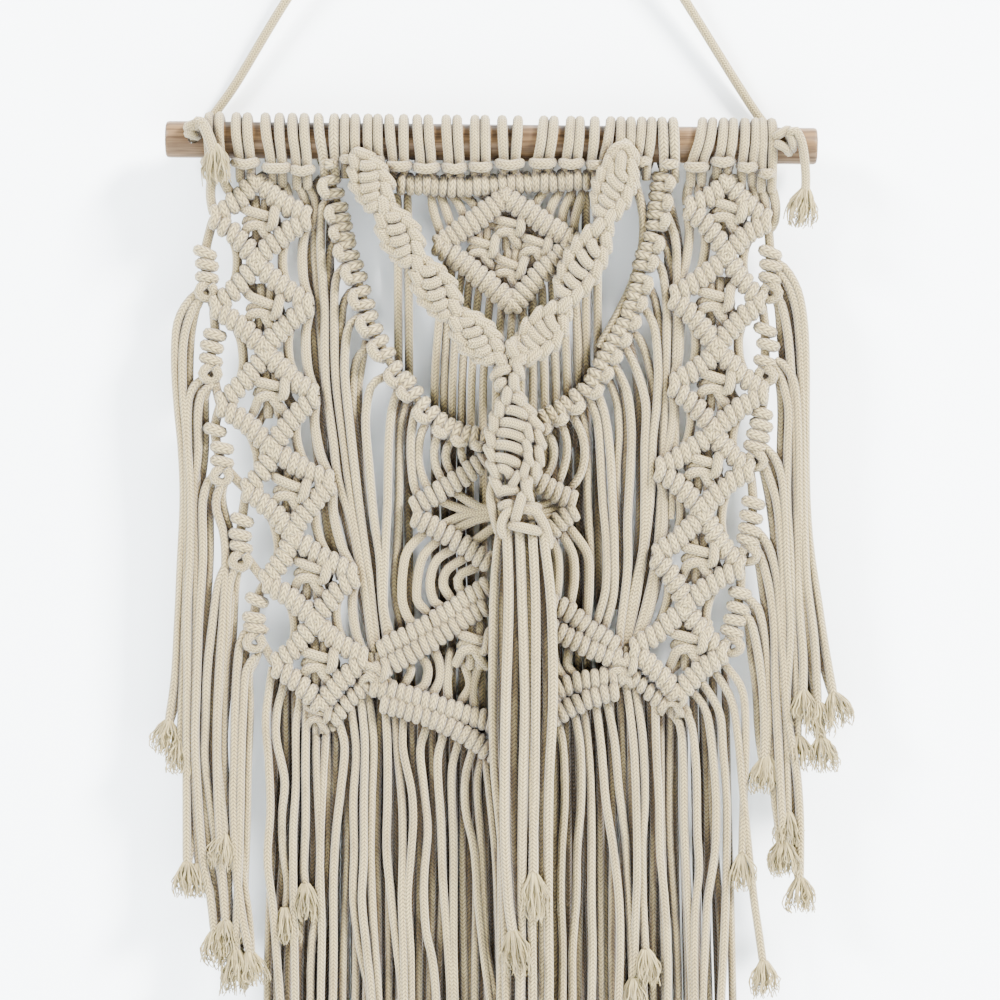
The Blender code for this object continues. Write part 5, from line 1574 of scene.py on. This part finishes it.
def build_wings_and_hips():
    """The butterfly below the neckline, with its arcs, and the net of double bars below it."""
    wing = Cords(61)
    for start, end, bow in WING_ARMS:
        arm(wing, start, end, bow, -6.4, 3.5, BAR_CORD, 4.7, 0.12, 0.0)
    wing.lines(WING_ARCS_LEFT + WING_ARCS_RIGHT, -4.0, 2.6, 3.5, 3.0)
    wing.lines(WING_CROSSINGS, -4.4, 2.6, 3.2, 3.0)
    cord_piece("butterfly_cords", wing, cotton_cord(), ("butterfly",))
    hips = Cords(62)
    pitch = MM_PER_M * sizes().large_pitch + 0.2
    for k, line in enumerate(HIP_BARS):
        hitches(hips, at_depth(line, -6.2 - 0.5 * (k % 2)), pitch, 3.5, BAR_CORD, 0.1)
    hips.lines(HIP_ARCS, -3.4, 2.55, 3.0, 3.0)
    square_knot(hips, -12.6, 264.1, -4.6, 0.9)
    for x, drop, size in ((-65.1, 278.8, 0.75), (64.6, 275.6, 0.75)):
        square_knot(hips, x, drop, -6.0, size)
    cord_piece("hip_net_cords", hips, cotton_cord(), ("hip_net",))


# ---------------------------------------------------------------- fringes

# The fringe's first row, as (x, drop) from the hem down.
FRINGE_STRANDS = (
    ((-90.5, 304.5), (-91.5, 319), (-93, 345.5), (-94, 377), (-93, 413.5), (-93.5, 450.5), (-93, 618)),
    ((-85, 302.5), (-81, 316.5), (-83, 340), (-85.5, 361), (-87, 387.5), (-87, 424), (-87.5, 471.5),
     (-87, 602)),
    ((-78, 295.5), (-75, 319), (-76.5, 345.5), (-76, 371.5), (-76.5, 398), (-73, 424), (-67.5, 450.5),
     (-63.5, 520), (-63, 611)),
    ((-73, 289), (-70.5, 314), (-71, 345.5), (-71, 377), (-72, 398), (-69.5, 424), (-66.5, 455.5),
     (-67.5, 625)),
    ((-69.5, 284.5), (-66, 314), (-67, 345.5), (-67.5, 377), (-66, 413.5), (-63.5, 450.5), (-60.5, 596)),
    ((-59.5, 297), (-58.5, 319), (-58.5, 345.5), (-59, 371.5), (-56.5, 398), (-53.5, 424), (-51, 450.5),
     (-52.5, 628)),
    ((-54.5, 301), (-53.5, 319), (-51, 345.5), (-50.5, 371.5), (-51, 398), (-50, 429.5), (-47.5, 606)),
    ((-50, 303), (-50.5, 318), (-46, 340), (-45, 356), (-46.5, 377), (-48, 398), (-46.5, 424), (-46, 461),
     (-42, 634)),
    ((-38.5, 309), (-41.5, 319), (-39.5, 340), (-37.5, 361), (-39.5, 387.5), (-38.5, 413.5), (-35, 429.5),
     (-33, 450.5), (-31, 615)),
    ((-29.5, 313), (-32, 322), (-32, 335), (-30.5, 356), (-29.5, 387.5), (-27.5, 413.5), (-25.5, 450.5),
     (-24.5, 640)),
    ((-21.5, 316.5), (-24.5, 327), (-25, 340), (-24, 371.5), (-24, 424), (-23, 461), (-19.5, 622)),
    ((-14, 320), (-17.5, 332.5), (-17.5, 350.5), (-13, 371.5), (-11, 398), (-7.5, 429.5), (-4.5, 455.5),
     (-6, 643)),
    ((-9, 323), (-11.5, 335), (-10, 361), (-8.5, 387.5), (-6.5, 424), (-2, 450.5), (-0.5, 628)),
    ((-6.5, 327.5), (-4.5, 345.5), (-1.5, 377), (0, 413.5), (1, 455.5), (5, 638)),
    ((30, 302), (33.5, 316.5), (34.5, 345.5), (33, 371.5), (32.5, 398), (33.5, 424), (33, 466), (31, 626)),
    ((39, 298), (42.5, 316.5), (43, 345.5), (41, 371.5), (40.5, 398), (38.5, 424), (38.5, 455.5),
     (37.5, 607)),
    ((44, 296), (46.5, 314), (48, 335), (48.5, 361), (48.5, 398), (49, 424), (48.5, 461), (46.5, 631)),
    ((50.5, 294), (53.5, 316.5), (56, 345.5), (60, 371.5), (63, 398), (63.5, 424), (62.5, 455.5), (58, 600)),
    ((56, 292), (60.5, 314), (63, 340), (66.5, 366.5), (67.5, 387.5), (69, 413.5), (70, 445), (69.5, 621)),
    ((67, 287.5), (70.5, 314), (72, 345.5), (72.5, 382), (71.5, 413.5), (71, 442.5)),
    ((72, 290.5), (75.5, 314), (76.5, 345.5), (75, 371.5), (75.5, 398), (77, 427)),
    ((82, 296.5), (82.5, 319), (84, 345.5), (84.5, 371.5), (87, 398), (88.5, 424), (88.5, 461), (84, 610)),
    ((87.5, 297), (95, 306), (97, 329.5), (97.5, 361), (99, 392.5), (100.5, 424), (101.5, 461), (99, 594)),
    ((93, 293), (100.5, 304.5), (103.5, 329.5), (104, 361), (105, 382), (103, 403), (102.5, 440), (106, 602)),
    ((100.5, 287.5), (108.5, 298), (112, 319), (114, 345.5), (113.5, 371.5), (109.5, 398), (108, 424),
     (107, 455.5), (112.5, 583)),
    ((106.5, 284), (115.5, 299), (117.5, 319), (119.5, 345.5), (119.5, 371.5), (119, 398), (118, 424),
     (116.5, 461), (118, 590)),
    ((113, 278), (122, 293), (125.5, 314), (128.5, 345.5), (131, 371.5), (134, 398), (137, 419),
     (139, 433.5)),
    ((117, 273), (127.5, 287.5), (129.5, 314), (128.5, 345.5), (127.5, 377)),
    ((-127.5, 272), (-134, 285), (-135.5, 308.5), (-136, 340), (-136.5, 371.5), (-137.5, 403), (-138, 427)),
    ((-120, 283.5), (-122.5, 303.5), (-121, 324.5), (-120, 350.5), (-121.5, 377), (-118.5, 403),
     (-116.5, 429.5), (-114.5, 461), (-117, 588)),
    ((-113.5, 287.5), (-116.5, 298), (-117, 313), (-112.5, 335), (-114, 353.5), (-113.5, 371.5),
     (-111, 390), (-112.5, 405)),
    ((-104.5, 294), (-106.5, 306), (-106.5, 335), (-108, 361), (-108, 387.5), (-107.5, 413.5),
     (-107, 450.5), (-106.5, 601)),
    ((-96, 304.5), (-96, 324.5), (-95, 345.5), (-94, 371.5), (-95, 398), (-98.5, 424), (-99, 455.5),
     (-98, 590)),
    ((-101, 299), (-101.5, 324.5), (-101.5, 356), (-102.5, 382), (-101.5, 392.5)),
)
# Ends combed out above the fringe's own end: x and drop.
FRINGE_TUFTS = ((71, 441), (77, 426), (139, 432), (127.5, 376), (-138, 426), (-112.5, 404), (-101.5, 391.5))
# Strands that bow out from the picots, as (x, drop), from the highest picot down.
SIDE_STRANDS_LEFT = (
    ((-154.5, 76.5), (-163.5, 84.5), (-169, 96), (-170, 117), (-168.5, 140.5), (-166.5, 161.5),
     (-165.5, 188), (-167, 219.5), (-168.5, 251), (-170.5, 282.5), (-174, 306)),
    ((-153.5, 79), (-160.5, 87), (-165.5, 104), (-166, 130), (-164, 156.5), (-163.5, 188), (-164, 219.5),
     (-165, 251), (-166, 282.5), (-167.5, 316.5)),
    ((-151.5, 123), (-159, 127), (-163, 135.5), (-163.5, 156.5), (-162, 182.5), (-162, 214),
     (-163.5, 245.5), (-163.5, 282.5), (-164, 324.5), (-164, 361), (-164, 380)),
    ((-148.5, 127), (-155.5, 131), (-158, 142), (-158, 161.5), (-160, 182.5), (-159.5, 214), (-159, 245.5),
     (-159.5, 282.5), (-160.5, 319), (-159, 356), (-158, 381)),
    ((-145.5, 172), (-152, 177.5), (-155.5, 189), (-155.5, 219.5), (-157.5, 251), (-158.5, 282.5),
     (-159.5, 314), (-158, 345.5), (-155.5, 377), (-151.5, 398), (-149.5, 416.5)),
    ((-142, 176.5), (-147, 182.5), (-148.5, 192), (-144.5, 205.5), (-143.5, 219.5), (-144.5, 245.5),
     (-147, 282.5), (-148, 314), (-147.5, 345.5), (-145.5, 382), (-143.5, 411)),
    ((-133, 215), (-141, 219.5), (-147, 231), (-150, 251), (-153, 277), (-154, 303.5), (-154.5, 324.5),
     (-150.5, 356), (-146, 387.5), (-142.5, 419)),
    ((-130.5, 219.5), (-138, 223), (-142, 235), (-143.5, 261.5), (-146, 287.5), (-148, 314), (-146.5, 340),
     (-144, 361), (-144.5, 365.5)),
    ((-121.5, 257), (-128, 254.5), (-134.5, 259.5), (-137, 272), (-138.5, 298), (-139, 324.5),
     (-139.5, 345.5), (-138, 382), (-134.5, 408.5), (-130.5, 427)),
    ((-127.5, 269.5), (-133, 278), (-134.5, 298), (-135.5, 324.5), (-136, 356), (-137, 387.5),
     (-138, 413.5), (-138.5, 432)),
)
SIDE_STRANDS_RIGHT = (
    ((145.5, 63), (151, 67.5), (157, 79), (160, 96), (161, 119.5), (161, 151), (161.5, 188), (163.5, 214),
     (167.5, 240.5), (171.5, 266.5), (176, 291.5)),
    ((145, 67), (151, 74.5), (156, 88), (158, 109), (159, 135.5), (159.5, 167), (160, 198.5), (161.5, 230),
     (165.5, 261.5), (167.5, 296.5)),
    ((142.5, 77.5), (148, 85), (151.5, 101.5), (153.5, 125), (155, 151), (156, 182.5), (156.5, 214),
     (157.5, 245.5), (159.5, 269.5), (159.5, 290)),
    ((145, 114.5), (151, 118.5), (155.5, 129), (157, 151), (157.5, 188), (158, 219.5), (161, 251),
     (166, 282.5), (169.5, 315)),
    ((144, 117.5), (149, 127), (152, 140.5), (151.5, 161.5), (151, 188), (153, 219.5), (154, 251),
     (156, 282.5), (157, 314)),
    ((137, 158.5), (144, 165), (148.5, 176.5), (150, 198.5), (151, 224.5), (153, 256), (151, 287.5),
     (151, 319), (151.5, 354)),
    ((135.5, 161.5), (140.5, 173), (145.5, 188), (148, 209), (149, 240.5), (149, 272), (147.5, 303.5),
     (148, 340), (149, 369)),
    ((135, 203.5), (141, 211.5), (145.5, 227.5), (147.5, 251), (149.5, 277), (151.5, 303.5), (156, 329.5),
     (158, 356), (158, 388.5)),
    ((132, 209), (137.5, 218.5), (142, 235), (144.5, 256), (145, 282.5), (146.5, 314), (148, 345.5),
     (149.5, 369.5)),
    ((128.5, 238.5), (135.5, 244), (139, 259), (141, 282.5), (142, 303.5), (141, 324.5)),
    ((125, 244.5), (132, 252), (136, 269.5), (138.5, 287.5), (139.5, 308.5), (139, 326)),
)
# The hem's outline: x, and the drop at which the rows behind start. Past LONG_END a strand ends in a brush.
HEM = ((-118, 287), (-95, 306), (-84, 309), (-71, 294), (-60, 301), (-3, 326), (30, 308), (60, 295),
       (70, 286), (88, 300), (94, 300), (119, 280))
LONG_END = 460
HALF_WIDTH, TIP_RISE = 120, 52


def hem_root(x):
    return float(np.interp(x, *zip(*HEM)))


def hem_tip(x, lowest):
    """Where a strand of the rows behind ends: lowest in the middle, and higher towards the sides."""
    return lowest - TIP_RISE * (x / HALF_WIDTH) ** 2


def build_fringes():
    """The strands that hang from the hem, and those that leave the picots at both sides."""
    hem, tufts = Cords(71), Cords(72)
    for k, strand in enumerate(FRINGE_STRANDS):
        (x, drop), (beyond, _) = strand[:2]
        strand = ((x + 0.35 * (x - beyond), drop - 8.0), (x, drop - 0.5), *strand[1:])
        hem.line(hang(strand, -3.6 - 1.2 * (k % 2), -3.4, 1.2, hem.chance), strand_radius(0.94), 4.8)
    # A second layer shows in the gaps of the first, dark from the lights and from the painted shadow of the
    # cords in front of it.
    x = -118.0
    while x < 120.0:
        root = hem_root(x)
        tip = hem_tip(x, 634) + hem.chance.uniform(-22, 0)
        sway = hem.chance.uniform(-2.0, 2.0)
        strand = ((x, root - 9), (x * 1.01 + sway, root + 60), (x * 1.03 - sway * 0.5, root + 140),
                  (x * 1.04 + sway, root + 220), (x * 1.04, tip))
        hem.line(hang(strand, 0.6, 3.6, 0.8, hem.chance), 2.15, 5.5)
        x += hem.chance.uniform(4.9, 6.3)
    cord_piece("hem_strands", hem, cotton_strand(), ("fringe_front",))
    # And a third behind it, which closes what is left.
    deep, brushes = Cords(75), Cords(76)
    for x in np.arange(-116.0, 118.0, 5.2):
        root = hem_root(x)
        tip = hem_tip(x, 622) + deep.chance.uniform(-34, 0)
        sway = deep.chance.uniform(-1.2, 1.2)
        strand = ((x, root - 10), (x * 1.01 + sway, root + 80), (x * 1.03 - sway, root + 180),
                  (x * 1.04, tip))
        deep.line(hang(strand, 5.2, 8.2, 0.6, deep.chance), 2.3, 6.5)
        fray(brushes, deep.runs[-1][0][-1], (0.0, 1.0, 0.0), 9, 15, 18)
    cord_piece("hem_strands_behind", deep, cotton_strand(), ("fringe_front",))
    cord_piece("hem_frays_behind", brushes, fibre(), (), 0)
    for x, drop in FRINGE_TUFTS:
        fray(tufts, (x, drop, -4.2), (0.02, 1, 0), 12, 20, 80)
    for points, _, _, _ in hem.runs:
        if points[-1][1] > LONG_END:
            fray(tufts, points[-1], points[-1] - points[-3], 10, 17, 34)
    cord_piece("hem_frays", tufts, fibre(), (), 0)
    for side, strands, seed in (("left", SIDE_STRANDS_LEFT, 73), ("right", SIDE_STRANDS_RIGHT, 74)):
        cords, ends = Cords(seed), Cords(seed + 10)
        for k, strand in enumerate(strands):
            line = hang(strand, -5.5, -1.5 - 1.4 * (k % 3), 0.9, cords.chance)
            cords.line(line, strand_radius(), 4.8)
            # Each has a fellow that hangs close behind it and ends in the same brush.
            last = len(line) - 1
            apart = np.interp(np.arange(last + 1), (0, 2, last - 1, last), (0.0, 3.6, 3.2, 0.8))
            inwards = 1 if side == "left" else -1
            fellow = line + np.column_stack([inwards * apart, 0 * apart, 0.9 * apart])
            cords.line(fellow, strand_radius(0.96), 5.2)
            fray(ends, line[-1], line[-1] - line[-2], 13, 19, 80)
        cord_piece(f"side_strands_{side}", cords, cotton_strand(), (f"side_fringe_{side}",))
        cord_piece(f"side_frays_{side}", ends, fibre(), (), 0)


# ---------------------------------------------------------------- operators and panel


class MACRAME_OT_stage(bpy.types.Operator):
    """Set up the wall, the floor, the lights and the camera"""

    bl_idname = "macrame.stage"
    bl_label = "Stage"

    def execute(self, context):
        build_stage()
        return {"FINISHED"}


class MACRAME_OT_hanger(bpy.types.Operator):
    """Hang the cord over the nail and knot it in front of the dowel"""

    bl_idname = "macrame.hanger"
    bl_label = "Hanging Cord"

    def execute(self, context):
        build_hanger()
        return {"FINISHED"}


class MACRAME_OT_dowel(bpy.types.Operator):
    """Turn the dowel and bore its holes"""

    bl_idname = "macrame.dowel"
    bl_label = "Dowel"

    def execute(self, context):
        build_dowel()
        return {"FINISHED"}


class MACRAME_OT_panels(bpy.types.Operator):
    """Tie the two side panels of diamonds"""

    bl_idname = "macrame.panels"
    bl_label = "Side Panels"

    def execute(self, context):
        build_panels()
        return {"FINISHED"}


class MACRAME_OT_neckline(bpy.types.Operator):
    """Tie the neckline and its curtain of strands"""

    bl_idname = "macrame.neckline"
    bl_label = "Neckline"

    def execute(self, context):
        build_neckline()
        return {"FINISHED"}


class MACRAME_OT_centre(bpy.types.Operator):
    """Tie the top bar, the middle diamond and the strands behind"""

    bl_idname = "macrame.centre"
    bl_label = "Centre Diamond"

    def execute(self, context):
        build_centre()
        return {"FINISHED"}


class MACRAME_OT_sennits(bpy.types.Operator):
    """Tie the sennits, their gathering knot and the tassel"""

    bl_idname = "macrame.sennits"
    bl_label = "Sennits and Tassel"

    def execute(self, context):
        build_sennits()
        return {"FINISHED"}


class MACRAME_OT_wings(bpy.types.Operator):
    """Tie the butterfly and the hip net"""

    bl_idname = "macrame.wings"
    bl_label = "Butterfly and Hip Net"

    def execute(self, context):
        build_wings_and_hips()
        return {"FINISHED"}


class MACRAME_OT_fringes(bpy.types.Operator):
    """Hang the fringes with their combed-out ends"""

    bl_idname = "macrame.fringes"
    bl_label = "Fringes"

    def execute(self, context):
        build_fringes()
        return {"FINISHED"}


class MACRAME_OT_crease_shading(bpy.types.Operator):
    """Paint shade into the cords where each point lies deep between its neighbours or behind them"""

    bl_idname = "macrame.creases"
    bl_label = "Creases"

    def execute(self, context):
        if not CORD_PIECES:
            raise RuntimeError("no cords are tied yet")
        paint_crease_shade()
        return {"FINISHED"}


STEPS = (
    MACRAME_OT_stage, MACRAME_OT_hanger, MACRAME_OT_dowel, MACRAME_OT_panels, MACRAME_OT_neckline,
    MACRAME_OT_centre, MACRAME_OT_sennits, MACRAME_OT_wings, MACRAME_OT_fringes, MACRAME_OT_crease_shading,
)


class MACRAME_PT_sidebar(bpy.types.Panel):
    """The wall hanging's sizes, colours and steps"""

    bl_idname = "MACRAME_PT_sidebar"
    bl_label = "Macrame Wall Hanging"
    bl_space_type = "VIEW_3D"
    bl_region_type = "UI"
    bl_category = "Macrame"

    def draw(self, context):
        for group in (context.scene.macrame_sizes, context.scene.macrame_colours):
            column = self.layout.column(align=True)
            for name in group.__annotations__:
                column.prop(group, name)
        column = self.layout.column(align=True)
        for step in STEPS:
            column.operator(step.bl_idname)


CLASSES = (MacrameSizes, MacrameColours, *STEPS, MACRAME_PT_sidebar)


def register():
    for one in CLASSES:
        bpy.utils.register_class(one)
    bpy.types.Scene.macrame_sizes = bpy.props.PointerProperty(type=MacrameSizes)
    bpy.types.Scene.macrame_colours = bpy.props.PointerProperty(type=MacrameColours)


def unregister():
    del bpy.types.Scene.macrame_colours
    del bpy.types.Scene.macrame_sizes
    for one in reversed(CLASSES):
        bpy.utils.unregister_class(one)


def main():
    register()
    bpy.ops.macrame.stage()
    bpy.ops.macrame.hanger()
    bpy.ops.macrame.dowel()
    bpy.ops.macrame.panels()
    bpy.ops.macrame.neckline()
    bpy.ops.macrame.centre()
    bpy.ops.macrame.sennits()
    bpy.ops.macrame.wings()
    bpy.ops.macrame.fringes()
    bpy.ops.macrame.creases()


if __name__ == "__main__":
    main()
